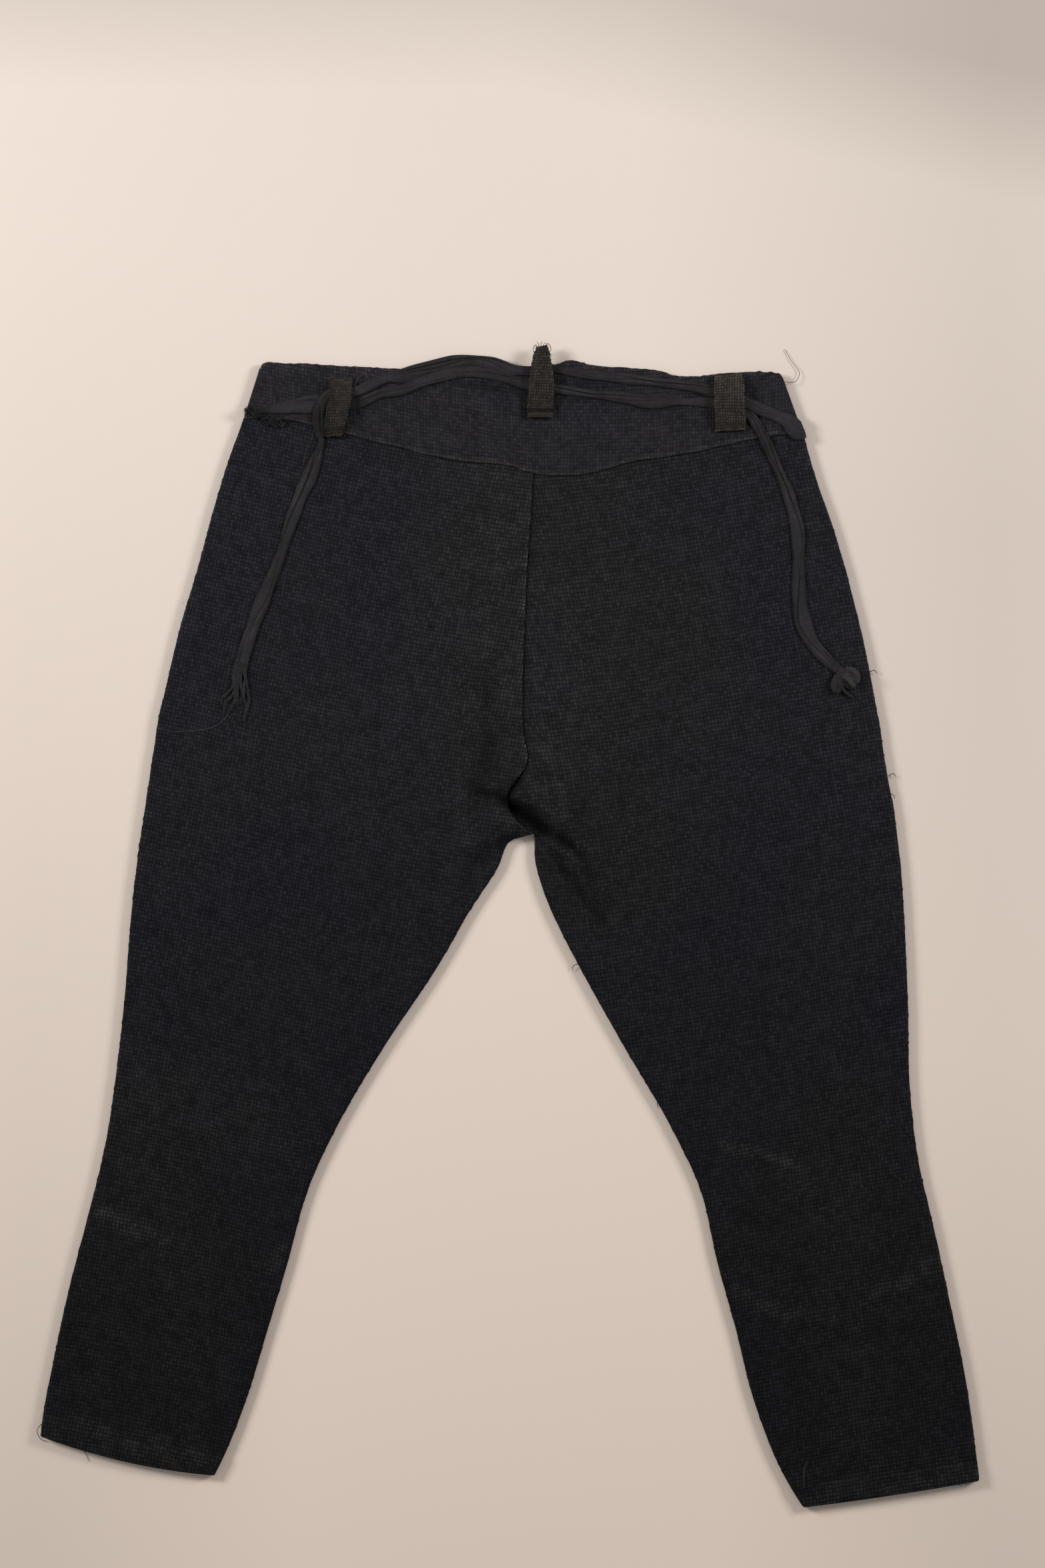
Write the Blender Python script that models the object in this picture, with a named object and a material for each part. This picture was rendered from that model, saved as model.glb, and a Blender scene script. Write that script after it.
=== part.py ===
"""Knee breeches of coarse basket-weave cloth, laid flat on their front with the back up.

The origin is on the surface that they lie on, under the middle of the garment. X runs to the right of
the back view, Y from the hems to the waist, and Z up. Sizes are in millimetres, and each finished mesh
is scaled to metres.
"""
import math
from typing import NamedTuple

import bmesh
import bpy

# Cloth, in millimetres
CLOTH = 2.0
LOOP_CLOTH = 1.8
TAPE = 1.2
SEAM_GAP = 0.3
LAYER_GAP = 1.0

# Heights of the laid garment
FLAT_TOP = 2 * CLOTH + LAYER_GAP
ROLL = FLAT_TOP / 2
BACK_EDGE = ROLL + SEAM_GAP / 2
FRONT_EDGE = ROLL - SEAM_GAP / 2
DEEPEST_FOLD = -0.3

# Turned-up hems and the turned-under edge of the yoke
HEM_RISE = 0.8
YOKE_RISE = 1.0
YOKE_TURNING = 12.0
TURNING_FALL = 4.0
HEM_STEP = 0.1
YOKE_FADE_ROWS = 4
FRONT_WAIST_DROP = 1.5

# Places of the columns of a leg panel, counted from its inner edge
ROLL_ANGLES = (0.0, 45.0, 90.0)
BACK_COLUMNS = (7.0, 12.0, 18.0, 24.0, 31.0, 39.0, 48.0, 57.0, 68.0)
BACK_SHARES = (0.17, 0.34, 0.5, 0.67, 0.84)
FRONT_COLUMNS = (30.0,)
FRONT_SHARES = (0.5,)
YOKE_HEIGHTS = (0.45, 0.72, 1.0)
FOLD_FADE = 12.0

# Ties and loops
TIE_CLEARANCE = 0.4
TIE_STEP = 8.0
TIE_REACH = 5.0
TIE_BEVEL = 0.5
LOOP_COLUMNS = 5
LOOP_STEPS = 2
LOOP_CROWN = 0.5
SCALE = 0.001


class SeatSection(NamedTuple):
    """One section across both legs above the crotch: left side, centre-back seam and right side."""
    name: str
    left_x: float
    left_y: float
    seam_x: float
    seam_y: float
    right_x: float
    right_y: float
    steps: int


class LegSection(NamedTuple):
    """One section across a leg below the crotch, with the drop of its middle below a straight line."""
    name: str
    outer_x: float
    outer_y: float
    inner_x: float
    inner_y: float
    bow: float
    steps: int


class YokeSection(NamedTuple):
    """One line from the waist edge to the yoke seam."""
    name: str
    waist_x: float
    waist_y: float
    seam_x: float
    seam_y: float


class CreasePoint(NamedTuple):
    """A point of the fold's foot, with the height of the fold beside it and its width."""
    x: float
    y: float
    height: float
    width: float


class Ridge(NamedTuple):
    """A soft ridge, or a valley where the height is negative, along a straight line."""
    name: str
    start_x: float
    start_y: float
    end_x: float
    end_y: float
    height: float
    half_width: float


class TiePoint(NamedTuple):
    """A point of a tie's middle line, with its folded width and its lift over what lies below."""
    x: float
    y: float
    width: float
    lift: float


class WrapPoint(NamedTuple):
    """A point of a tie that turns round the side edge: distance out from the edge, and height."""
    out: float
    height: float


class LoopRow(NamedTuple):
    """One row across a belt loop, with its lift off the yoke."""
    left_x: float
    left_y: float
    right_x: float
    right_y: float
    lift: float


class Lock(NamedTuple):
    """A lock of torn threads: the place of its bend and of its tip, and its width at the bend."""
    bend_x: float
    bend_y: float
    tip_x: float
    tip_y: float
    width: float


class KnotLobe(NamedTuple):
    """A rounded lobe of the knot: its middle, its three half sizes and its turn in degrees."""
    name: str
    x: float
    y: float
    half_length: float
    half_width: float
    half_height: float
    turn: float


SEAT = [
    SeatSection("yoke seam", -199.75, 381.0, 17.75, 339.5, 220.75, 369.0, 2),
    SeatSection("upper hip", -211.75, 347.5, 15.75, 305.0, 230.25, 336.0, 2),
    SeatSection("hip", -222.0, 314.0, 13.25, 269.0, 242.5, 301.0, 2),
    SeatSection("seat", -234.5, 267.5, 11.25, 220.0, 255.75, 255.0, 2),
    SeatSection("lower seat", -247.25, 225.0, 9.75, 175.0, 266.25, 212.0, 2),
    SeatSection("above the fold", -253.75, 198.5, 10.25, 147.5, 271.5, 186.0, 2),
    SeatSection("top of the fold", -259.75, 172.5, 12.5, 120.0, 276.25, 160.0, 2),
    SeatSection("fold turning in", -262.5, 162.0, 6.25, 111.0, 278.25, 150.0, 2),
    SeatSection("fold at its leftmost", -264.5, 151.0, -0.75, 100.0, 279.75, 139.0, 2),
    SeatSection("fold turning out", -265.75, 140.0, -0.75, 90.0, 281.25, 128.5, 3),
    SeatSection("hollow", -268.0, 128.0, 7.75, 77.0, 283.25, 116.5, 2),
    SeatSection("crotch", -269.25, 119.0, 18.25, 69.5, 284.5, 109.0, 1),
]

LEFT_LEG = [
    LegSection("gap top", -270.25, 112.0, 9.75, 67.0, 0.0, 1),
    LegSection("gap corner", -271.5, 104.0, 0.75, 64.0, 0.0, 2),
    LegSection("upper thigh", -274.0, 87.0, -8.25, 45.0, 0.0, 2),
    LegSection("thigh", -278.75, 55.0, -27.75, 15.0, 0.0, 2),
    LegSection("middle thigh", -284.0, 10.0, -53.75, -30.0, 0.0, 2),
    LegSection("lower thigh", -289.0, -52.5, -93.75, -90.0, 0.0, 2),
    LegSection("above the knee", -296.0, -115.0, -129.25, -150.0, 0.0, 2),
    LegSection("knee", -303.25, -162.5, -150.25, -195.0, 0.0, 2),
    LegSection("below the knee", -318.25, -224.0, -167.25, -255.0, 0.5, 2),
    LegSection("calf", -330.25, -270.0, -180.75, -300.0, 1.5, 2),
    LegSection("lower calf", -343.25, -330.0, -199.25, -360.0, 3.5, 2),
    LegSection("hem stitching", -350.5, -368.0, -213.75, -396.5, 4.8, 1),
    LegSection("hem", -352.25, -382.5, -221.25, -412.0, 4.8, 0),
]

RIGHT_LEG = [
    LegSection("gap side", 285.75, 103.0, 18.75, 64.0, 0.0, 1),
    LegSection("inner fold", 288.5, 89.0, 19.25, 50.0, 0.0, 2),
    LegSection("upper thigh", 291.25, 67.5, 24.25, 30.0, 0.0, 2),
    LegSection("thigh", 294.5, 37.0, 36.75, 0.0, 0.0, 2),
    LegSection("middle thigh", 296.5, 5.0, 52.25, -30.0, 0.0, 2),
    LegSection("lower thigh", 299.25, -58.0, 85.75, -90.0, 0.0, 2),
    LegSection("above the knee", 300.75, -122.0, 120.75, -150.0, 0.0, 2),
    LegSection("knee", 306.0, -170.0, 142.25, -195.0, 0.0, 2),
    LegSection("below the knee", 320.0, -232.5, 156.75, -255.0, 0.0, 2),
    LegSection("calf", 330.0, -279.0, 169.25, -300.0, 0.3, 2),
    LegSection("lower calf", 342.5, -340.0, 184.75, -360.0, 0.6, 2),
    LegSection("hem stitching", 351.0, -401.0, 210.25, -420.0, 1.0, 1),
    LegSection("hem", 352.75, -416.0, 220.25, -436.0, 1.0, 0),
]

YOKE = [
    YokeSection("left side", -185.75, 421.0, -199.75, 381.0),
    YokeSection("left corner", -162.25, 421.3, -168.0, 379.5),
    YokeSection("left loop", -140.75, 421.0, -144.75, 374.5),
    YokeSection("beside the left loop", -115.75, 420.0, -117.25, 367.5),
    YokeSection("left quarter", -90.75, 418.8, -87.25, 360.0),
    YokeSection("left of the middle", -62.25, 417.5, -59.75, 353.0),
    YokeSection("inner left", -32.25, 416.5, -32.25, 348.0),
    YokeSection("before the seam", -4.75, 416.5, -2.25, 345.75),
    YokeSection("centre-back seam", 16.25, 417.0, 17.75, 339.5),
    YokeSection("centre loop", 32.75, 420.5, 35.75, 337.5),
    YokeSection("waist peak", 43.75, 424.75, 51.75, 338.0),
    YokeSection("right of the peak", 61.25, 421.5, 70.25, 342.0),
    YokeSection("inner right", 80.75, 419.5, 87.75, 347.25),
    YokeSection("right quarter", 109.25, 417.5, 112.75, 351.25),
    YokeSection("waist dip", 125.25, 413.25, 134.75, 354.5),
    YokeSection("right loop", 141.25, 412.75, 157.25, 359.5),
    YokeSection("beside the right loop", 163.75, 415.25, 181.25, 364.75),
    YokeSection("right corner", 185.25, 416.25, 200.25, 368.25),
    YokeSection("right side", 204.25, 415.0, 220.75, 369.0),
]

# The deep fold at the crotch stands to the left of this line, followed downwards
CREASE_RISE = 5.0
CREASE_CREST = 0.45
CREASE = [
    CreasePoint(12.25, 134.0, 0.0, 20.0),
    CreasePoint(11.75, 121.0, 3.5, 24.0),
    CreasePoint(7.25, 111.0, 6.5, 30.0),
    CreasePoint(0.75, 102.0, 7.5, 34.0),
    CreasePoint(-0.75, 96.0, 8.0, 35.0),
    CreasePoint(1.75, 90.5, 8.0, 35.0),
    CreasePoint(9.25, 88.0, 8.0, 34.0),
    CreasePoint(18.75, 86.0, 8.0, 31.0),
    CreasePoint(26.75, 79.0, 7.5, 27.0),
    CreasePoint(33.75, 70.0, 6.5, 22.0),
    CreasePoint(42.75, 63.5, 5.0, 18.0),
    CreasePoint(50.75, 56.5, 3.5, 15.0),
    CreasePoint(59.75, 43.0, 1.5, 12.0),
    CreasePoint(66.25, 25.0, 0.0, 10.0),
]

RIDGES = [
    Ridge("swelling round the crotch", 12.75, 87.5, 12.75, 87.5, 3.5, 62.0),
    Ridge("hollow under the fold", 6.0, 88.0, 24.0, 74.0, -3.2, 10.0),
    Ridge("left thigh ridge", -32.25, 110.0, -37.25, 30.0, 2.2, 14.0),
    Ridge("left valley", -14.75, 147.5, -22.25, 102.5, -2.6, 8.0),
    Ridge("foot of the left valley", -21.25, 101.5, -8.25, 99.0, -2.0, 6.0),
    Ridge("wide valley", -14.75, 185.0, -21.25, 120.0, -0.9, 20.0),
    Ridge("left inner lobe", -9.75, 82.5, -3.75, 77.5, 2.8, 16.0),
    Ridge("left of the seam", 2.75, 130.0, -2.25, 115.0, 1.5, 9.0),
    Ridge("right inner ridge", 28.75, 59.0, 41.75, 22.5, 2.4, 7.0),
    Ridge("right valley", 40.25, 51.0, 52.75, 27.5, -2.0, 7.0),
    Ridge("end of the right valley", 52.75, 27.5, 68.25, 5.0, -1.5, 6.0),
    Ridge("left inseam hollow", -19.75, 45.0, -12.0, 58.0, -1.2, 10.0),
]

# The long tie comes up round the rolled right side edge of the yoke
WRAP_HEIGHT = 5.0
WRAP_WIDTH = 8.0
EDGE_WRAP = [
    WrapPoint(1.5, 2.95),
    WrapPoint(1.2, 4.6),
    WrapPoint(-0.3, 6.4),
    WrapPoint(-2.8, 7.1),
]

# From there through the loops to the frayed end on the left
LONG_TIE = [
    TiePoint(209.5, 378.5, 9.0, 0.0),
    TiePoint(201.75, 382.25, 9.5, 0.0),
    TiePoint(188.75, 387.5, 9.0, 1.0),
    TiePoint(170.25, 396.0, 8.5, 1.7),
    TiePoint(153.25, 401.0, 8.0, 1.7),
    TiePoint(137.75, 404.5, 7.5, 0.4),
    TiePoint(109.25, 408.25, 7.5, 0.0),
    TiePoint(77.25, 411.75, 7.0, 0.0),
    TiePoint(45.75, 415.75, 7.0, 0.0),
    TiePoint(32.75, 418.25, 7.0, 0.0),
    TiePoint(14.25, 416.5, 7.0, 0.0),
    TiePoint(2.25, 418.0, 7.0, 0.0),
    TiePoint(-12.25, 423.0, 7.5, 0.0),
    TiePoint(-24.75, 425.0, 7.5, 0.0),
    TiePoint(-42.75, 424.5, 7.5, 0.0),
    TiePoint(-60.5, 420.25, 7.5, 0.0),
    TiePoint(-78.25, 414.5, 8.0, 0.0),
    TiePoint(-96.25, 410.0, 8.0, 0.4),
    TiePoint(-115.75, 401.0, 8.0, 1.7),
    TiePoint(-130.25, 397.5, 7.5, 1.7),
    TiePoint(-140.0, 392.5, 7.0, 1.9),
    TiePoint(-143.5, 383.5, 7.0, 1.8),
    TiePoint(-143.75, 373.5, 7.0, 0.2),
    TiePoint(-145.75, 349.5, 7.5, 0.0),
    TiePoint(-151.75, 329.5, 8.0, 0.0),
    TiePoint(-161.75, 309.5, 8.5, 0.0),
    TiePoint(-171.75, 279.0, 9.0, 0.0),
    TiePoint(-185.0, 245.0, 10.0, 0.0),
    TiePoint(-196.0, 214.0, 10.5, 0.0),
    TiePoint(-200.75, 197.5, 10.5, 0.0),
]

# From the torn stub on the left through the loops to the knot on the right
SHORT_TIE = [
    TiePoint(-193.75, 384.5, 4.0, 0.0),
    TiePoint(-182.25, 385.75, 8.5, 0.0),
    TiePoint(-162.25, 388.5, 12.0, 0.0),
    TiePoint(-145.75, 390.5, 12.5, 0.0),
    TiePoint(-130.25, 391.5, 10.5, 0.0),
    TiePoint(-115.75, 392.5, 8.0, 0.0),
    TiePoint(-97.75, 399.0, 8.0, 0.0),
    TiePoint(-80.25, 402.5, 8.0, 0.0),
    TiePoint(-60.25, 410.0, 8.0, 0.0),
    TiePoint(-42.75, 414.5, 7.5, 0.0),
    TiePoint(-24.75, 415.5, 7.5, 0.0),
    TiePoint(-10.25, 413.0, 7.5, 0.0),
    TiePoint(2.25, 409.25, 7.5, 0.0),
    TiePoint(14.25, 406.5, 7.5, 0.0),
    TiePoint(33.75, 403.75, 8.0, 0.0),
    TiePoint(61.5, 400.25, 8.0, 0.0),
    TiePoint(93.25, 395.5, 9.0, 0.0),
    TiePoint(109.25, 394.5, 9.5, 0.0),
    TiePoint(125.25, 394.5, 8.5, 0.0),
    TiePoint(153.25, 392.5, 8.0, 0.0),
    TiePoint(170.25, 388.5, 8.0, 0.0),
    TiePoint(179.75, 383.0, 8.0, 0.0),
    TiePoint(189.25, 369.0, 8.0, 0.0),
    TiePoint(199.25, 348.0, 8.5, 0.0),
    TiePoint(209.75, 322.5, 9.0, 0.0),
    TiePoint(215.75, 299.0, 9.5, 0.0),
    TiePoint(216.75, 265.5, 10.0, 0.0),
    TiePoint(217.0, 249.0, 10.5, 0.0),
    TiePoint(219.25, 232.5, 11.0, 0.0),
    TiePoint(224.25, 217.5, 11.0, 0.0),
    TiePoint(232.25, 206.0, 10.5, 0.0),
    TiePoint(240.75, 197.5, 9.0, 0.0),
    TiePoint(246.0, 192.5, 8.0, 0.0),
]

LEFT_LOOP = [
    LoopRow(-136.25, 367.0, -124.75, 368.0, 0.0),
    LoopRow(-135.5, 378.5, -123.0, 380.5, 2.6),
    LoopRow(-138.25, 389.5, -119.25, 389.5, 4.6),
    LoopRow(-135.5, 398.0, -117.75, 398.0, 4.6),
    LoopRow(-134.75, 405.5, -117.25, 405.0, 2.8),
    LoopRow(-140.0, 410.0, -117.75, 410.75, 0.0),
]

CENTRE_LOOP = [
    LoopRow(12.25, 382.0, 32.25, 381.5, 0.0),
    LoopRow(11.75, 387.5, 33.25, 387.5, 0.6),
    LoopRow(13.75, 398.0, 33.75, 396.5, 3.4),
    LoopRow(16.25, 414.5, 32.25, 414.5, 3.8),
    LoopRow(17.25, 428.5, 30.5, 430.5, 3.0),
    LoopRow(18.0, 434.0, 29.75, 435.7, 2.0),
]

RIGHT_LOOP = [
    LoopRow(154.0, 370.75, 177.25, 372.0, 0.0),
    LoopRow(154.0, 379.0, 177.0, 379.0, 2.2),
    LoopRow(153.5, 390.0, 176.0, 390.0, 4.4),
    LoopRow(153.25, 402.0, 175.5, 404.0, 4.6),
    LoopRow(153.5, 408.5, 174.75, 410.5, 3.2),
    LoopRow(154.0, 413.0, 173.75, 414.75, 0.0),
]

FRAY_LENGTH = 3.0
FRAY_WIDTH = 10.5
FRAY_LOCKS = [
    Lock(-208.5, 181.0, -216.0, 167.0, 1.9),
    Lock(-206.5, 178.5, -214.0, 162.5, 1.8),
    Lock(-204.8, 176.5, -210.5, 160.0, 1.7),
    Lock(-203.0, 177.5, -206.8, 163.5, 1.6),
    Lock(-200.6, 178.5, -201.3, 166.0, 1.6),
    Lock(-198.4, 178.0, -198.9, 160.0, 1.7),
    Lock(-196.4, 180.5, -197.2, 154.5, 1.5),
]

TUFT_LENGTH = 2.0
TUFT_WIDTH = 15.0
TUFT_START = (-181.5, 379.6)
TUFT_LOCKS = [
    Lock(-189.8, 376.8, -193.5, 373.6, 1.6),
    Lock(-187.0, 374.5, -190.0, 370.0, 1.6),
    Lock(-184.4, 373.5, -185.5, 367.8, 1.5),
    Lock(-181.5, 372.8, -180.0, 366.5, 1.6),
    Lock(-178.6, 373.0, -175.5, 367.5, 1.5),
    Lock(-175.8, 374.5, -171.0, 370.5, 1.5),
]
LOCK_TIP = 0.5
LOCK_THICKNESS = 0.7

KNOT_SEGMENTS = 14
KNOT_RINGS = 8
KNOT_LOBES = [
    KnotLobe("crossing band", 252.9, 186.0, 9.0, 6.3, 4.2, -44.0),
    KnotLobe("upper curl", 258.4, 186.8, 8.0, 4.6, 3.4, -62.0),
    KnotLobe("tail", 251.6, 178.2, 9.5, 4.6, 2.2, -32.0),
]


def clear_scene():
    for thing in list(bpy.data.objects):
        bpy.data.objects.remove(thing)


def cloth_material(name, color, roughness):
    """A plain cloth or tape finish, with its colour in linear values."""
    material = bpy.data.materials.new(name)
    material.use_nodes = True
    shader = material.node_tree.nodes["Principled BSDF"]
    shader.inputs["Base Color"].default_value = (*color, 1.0)
    shader.inputs["Roughness"].default_value = roughness
    shader.inputs["Metallic"].default_value = 0.0
    return material


def finish(name, points, faces, material, sharp_angle=50.0):
    """Turn millimetre points and faces into one object in metres, with its faces pointing out."""
    mesh = bpy.data.meshes.new(name)
    mesh.from_pydata([[SCALE * value for value in point] for point in points], [], faces)
    shape = bmesh.new()
    shape.from_mesh(mesh)
    bmesh.ops.recalc_face_normals(shape, faces=shape.faces)
    shape.to_mesh(mesh)
    shape.free()
    mesh.shade_smooth()
    mesh.set_sharp_from_angle(angle=math.radians(sharp_angle))
    mesh.materials.append(material)
    thing = bpy.data.objects.new(name, mesh)
    bpy.context.scene.collection.objects.link(thing)
    return thing


def blend(a, b, share):
    return a + (b - a) * share


def blend_points(a, b, share):
    return tuple(blend(p, q, share) for p, q in zip(a, b))


def ease(low, high, value):
    """Rise smoothly from 0 at low to 1 at high."""
    share = min(max((value - low) / (high - low), 0.0), 1.0)
    return share * share * (3.0 - 2.0 * share)


def slope_at(rows, at):
    """Direction of the smooth curve through the rows, for each unit of distance between them."""
    if at == 0 or at == len(rows) - 1:
        first = min(at, len(rows) - 2)
        span = math.dist(rows[first], rows[first + 1])
        return [(b - a) / span for a, b in zip(rows[first], rows[first + 1])]
    before = math.dist(rows[at - 1], rows[at])
    after = math.dist(rows[at], rows[at + 1])
    return [
        ((b - a) / before * after + (c - b) / after * before) / (before + after)
        for a, b, c in zip(rows[at - 1], rows[at], rows[at + 1])
    ]


def smooth_row(rows, at, share):
    """Numbers between row at and the next one, on a curve that passes through every row."""
    span = math.dist(rows[at], rows[at + 1])
    leave = slope_at(rows, at)
    arrive = slope_at(rows, at + 1)
    keep = (1 + 2 * share) * (1 - share) ** 2
    gain = share * share * (3 - 2 * share)
    push = span * share * (1 - share) ** 2
    pull = span * share * share * (share - 1)
    return [
        keep * a + push * m + gain * b + pull * n
        for a, m, b, n in zip(rows[at], leave, rows[at + 1], arrive)
    ]


def dense_rows(rows, steps):
    """Every row of a table and the smooth rows between, with steps[i] steps after row i."""
    result = []
    for at in range(len(rows) - 1):
        for step in range(steps[at]):
            result.append(smooth_row(rows, at, step / steps[at]))
    result.append(list(rows[-1]))
    return result


def yoke_line(x):
    """Waist point and seam point of the yoke's line that meets the seam near x."""
    rows = [section[1:] for section in YOKE]
    seam_x = [section.seam_x for section in YOKE]
    at = 0
    while at < len(rows) - 2 and x > seam_x[at + 1]:
        at += 1
    share = (x - seam_x[at]) / (seam_x[at + 1] - seam_x[at])
    values = smooth_row(rows, at, min(max(share, 0.0), 1.0))
    return (values[0], values[1]), (values[2], values[3])


def distance_to_line(x, y, start, end):
    """Distance from a point to a stretch, its share along it, and its signed side."""
    along_x, along_y = end[0] - start[0], end[1] - start[1]
    length_squared = along_x ** 2 + along_y ** 2
    share = 0.0
    if length_squared > 0:
        share = ((x - start[0]) * along_x + (y - start[1]) * along_y) / length_squared
    share = min(max(share, 0.0), 1.0)
    off_x = x - start[0] - along_x * share
    off_y = y - start[1] - along_y * share
    side = along_x * off_y - along_y * off_x
    return math.hypot(off_x, off_y), share, side


def ridge_height(ridge, x, y):
    start = (ridge.start_x, ridge.start_y)
    end = (ridge.end_x, ridge.end_y)
    distance = distance_to_line(x, y, start, end)[0]
    share = min(distance / ridge.half_width, 1.0)
    return ridge.height * (1.0 - share * share) ** 2


def crease_height(x, y):
    """Height of the fold: steep behind its foot, crowned, and soft on its far side."""
    nearest = None
    for first, second in zip(CREASE, CREASE[1:]):
        distance, share, side = distance_to_line(x, y, first[:2], second[:2])
        if nearest is None or distance < nearest[0]:
            height = blend(first.height, second.height, share)
            width = blend(first.width, second.width, share)
            nearest = (distance, side, height, width)
    distance, side, height, width = nearest
    if side <= 0.0 or distance >= width:
        return 0.0
    rise = ease(0.0, CREASE_RISE, distance)
    fall = 1.0 - ease(CREASE_CREST * width, width, distance)
    return height * rise * fall


def fold_height(x, y):
    """Height of the back's folds above its flat level."""
    total = crease_height(x, y) + sum(ridge_height(ridge, x, y) for ridge in RIDGES)
    return max(total, DEEPEST_FOLD)


def yoke_rise(distance):
    """Extra height of the yoke at a distance above its lower edge, where it is turned under."""
    return YOKE_RISE * (1.0 - ease(YOKE_TURNING, YOKE_TURNING + TURNING_FALL, distance))


def back_surface(x, y):
    """Height of the upper side of the back at a place away from its edges."""
    seam_y = yoke_line(x)[1][1]
    if y >= seam_y:
        return FLAT_TOP + yoke_rise(y - seam_y)
    return FLAT_TOP + fold_height(x, y)


def highest_near(x, y, reach):
    """Highest surface of the back under a small patch."""
    spots = [(x, y), (x - reach, y), (x + reach, y), (x, y - reach), (x, y + reach)]
    return max(back_surface(*spot) for spot in spots)


def wall(name, outside, inside, material):
    """A closed wall between two grids of points that have the same rows and columns."""
    rows = len(outside)
    columns = len(outside[0])
    points = [point for row in outside for point in row]
    points += [point for row in inside for point in row]
    second = rows * columns

    def spot(row, column, layer):
        return row * columns + column + layer * second

    faces = []
    for row in range(rows - 1):
        for column in range(columns - 1):
            corners = [(row, column), (row, column + 1), (row + 1, column + 1), (row + 1, column)]
            faces.append([spot(*corner, 0) for corner in corners])
            faces.append([spot(*corner, 1) for corner in reversed(corners)])
    rim = [(0, column) for column in range(columns)]
    rim += [(row, columns - 1) for row in range(1, rows)]
    rim += [(rows - 1, column) for column in range(columns - 2, -1, -1)]
    rim += [(row, 0) for row in range(rows - 2, 0, -1)]
    for here, there in zip(rim, rim[1:] + rim[:1]):
        faces.append([spot(*here, 0), spot(*here, 1), spot(*there, 1), spot(*there, 0)])
    return finish(name, points, faces, material)


class PanelRow(NamedTuple):
    """A row of a leg panel: its two ends, whether its inner end is a seam, and its bow."""
    inner: tuple
    outer: tuple
    at_seam: bool
    bow: float


class Place(NamedTuple):
    """A column's place on one row: distances of its outside and inside points from the inner end."""
    outside: float
    inside: float
    level: float


def places(width, columns, shares, at_seam):
    """Places of all columns on a row, with a rolled edge at each end that isn't a seam."""
    roll = []
    for angle in ROLL_ANGLES:
        turn = math.radians(angle)
        outside = ROLL * (1.0 - math.cos(turn))
        inside = ROLL - (ROLL - CLOTH) * math.cos(turn)
        roll.append(Place(outside, inside, math.sin(turn)))
    start = roll
    if at_seam:
        start = [Place(place.outside, place.outside, 1.0) for place in roll]
    middle = [Place(distance, distance, 1.0) for distance in columns]
    room = width - ROLL - columns[-1]
    spread = [columns[-1] + room * share for share in shares]
    middle += [Place(distance, distance, 1.0) for distance in spread]
    end = [Place(width - p.outside, width - p.inside, p.level) for p in reversed(roll)]
    return start + middle + end


def seat_rows():
    numbers = [section[1:7] for section in SEAT]
    return dense_rows(numbers, [section.steps for section in SEAT])


def seam_normals(seam):
    """Unit directions from the centre-back seam towards the left panel."""
    result = []
    for at in range(len(seam)):
        before = seam[max(at - 1, 0)]
        after = seam[min(at + 1, len(seam) - 1)]
        length = math.dist(before, after)
        result.append(((after[1] - before[1]) / length, (before[0] - after[0]) / length))
    return result


def leg_rows(side, crotch_outer, crotch_inner):
    """Smooth rows of a leg below the crotch, down to the hem."""
    table = LEFT_LEG if side < 0 else RIGHT_LEG
    numbers = [[*crotch_outer, *crotch_inner, 0.0]]
    numbers += [list(section[1:6]) for section in table]
    steps = [1] + [section.steps for section in table]
    rows = dense_rows(numbers, steps)
    rows.insert(-1, smooth_row(numbers, len(numbers) - 2, HEM_STEP))
    return [PanelRow(tuple(row[2:4]), tuple(row[0:2]), False, row[4]) for row in rows[1:]]


def panel_rows(side):
    """Rows of the left (-1) or right (+1) back panel, from the yoke seam to the hem."""
    seat = seat_rows()
    seam = [row[2:4] for row in seat]
    rows = []
    for row, middle, normal in zip(seat, seam, seam_normals(seam)):
        shift = -side * SEAM_GAP / 2
        inner = (middle[0] + normal[0] * shift, middle[1] + normal[1] * shift)
        outer = tuple(row[0:2] if side < 0 else row[4:6])
        rows.append(PanelRow(inner, outer, True, 0.0))
    return rows + leg_rows(side, rows[-1].outer, seam[-1])


def along(row, distance):
    """Point on a row at a distance from its inner end."""
    share = distance / math.dist(row.inner, row.outer)
    x, y = blend_points(row.inner, row.outer, share)
    return x, y - 4.0 * row.bow * share * (1.0 - share)


def seam_shift(row, distance, number):
    """How far a point of the upper rows moves so that the top row follows the yoke seam."""
    if number >= YOKE_FADE_ROWS:
        return 0.0, 0.0
    straight = along(row, distance)
    seam = yoke_line(straight[0])[1]
    fade = (1.0 - number / YOKE_FADE_ROWS) ** 2
    return (seam[0] - straight[0]) * fade, (seam[1] - SEAM_GAP / 2 - straight[1]) * fade


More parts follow.
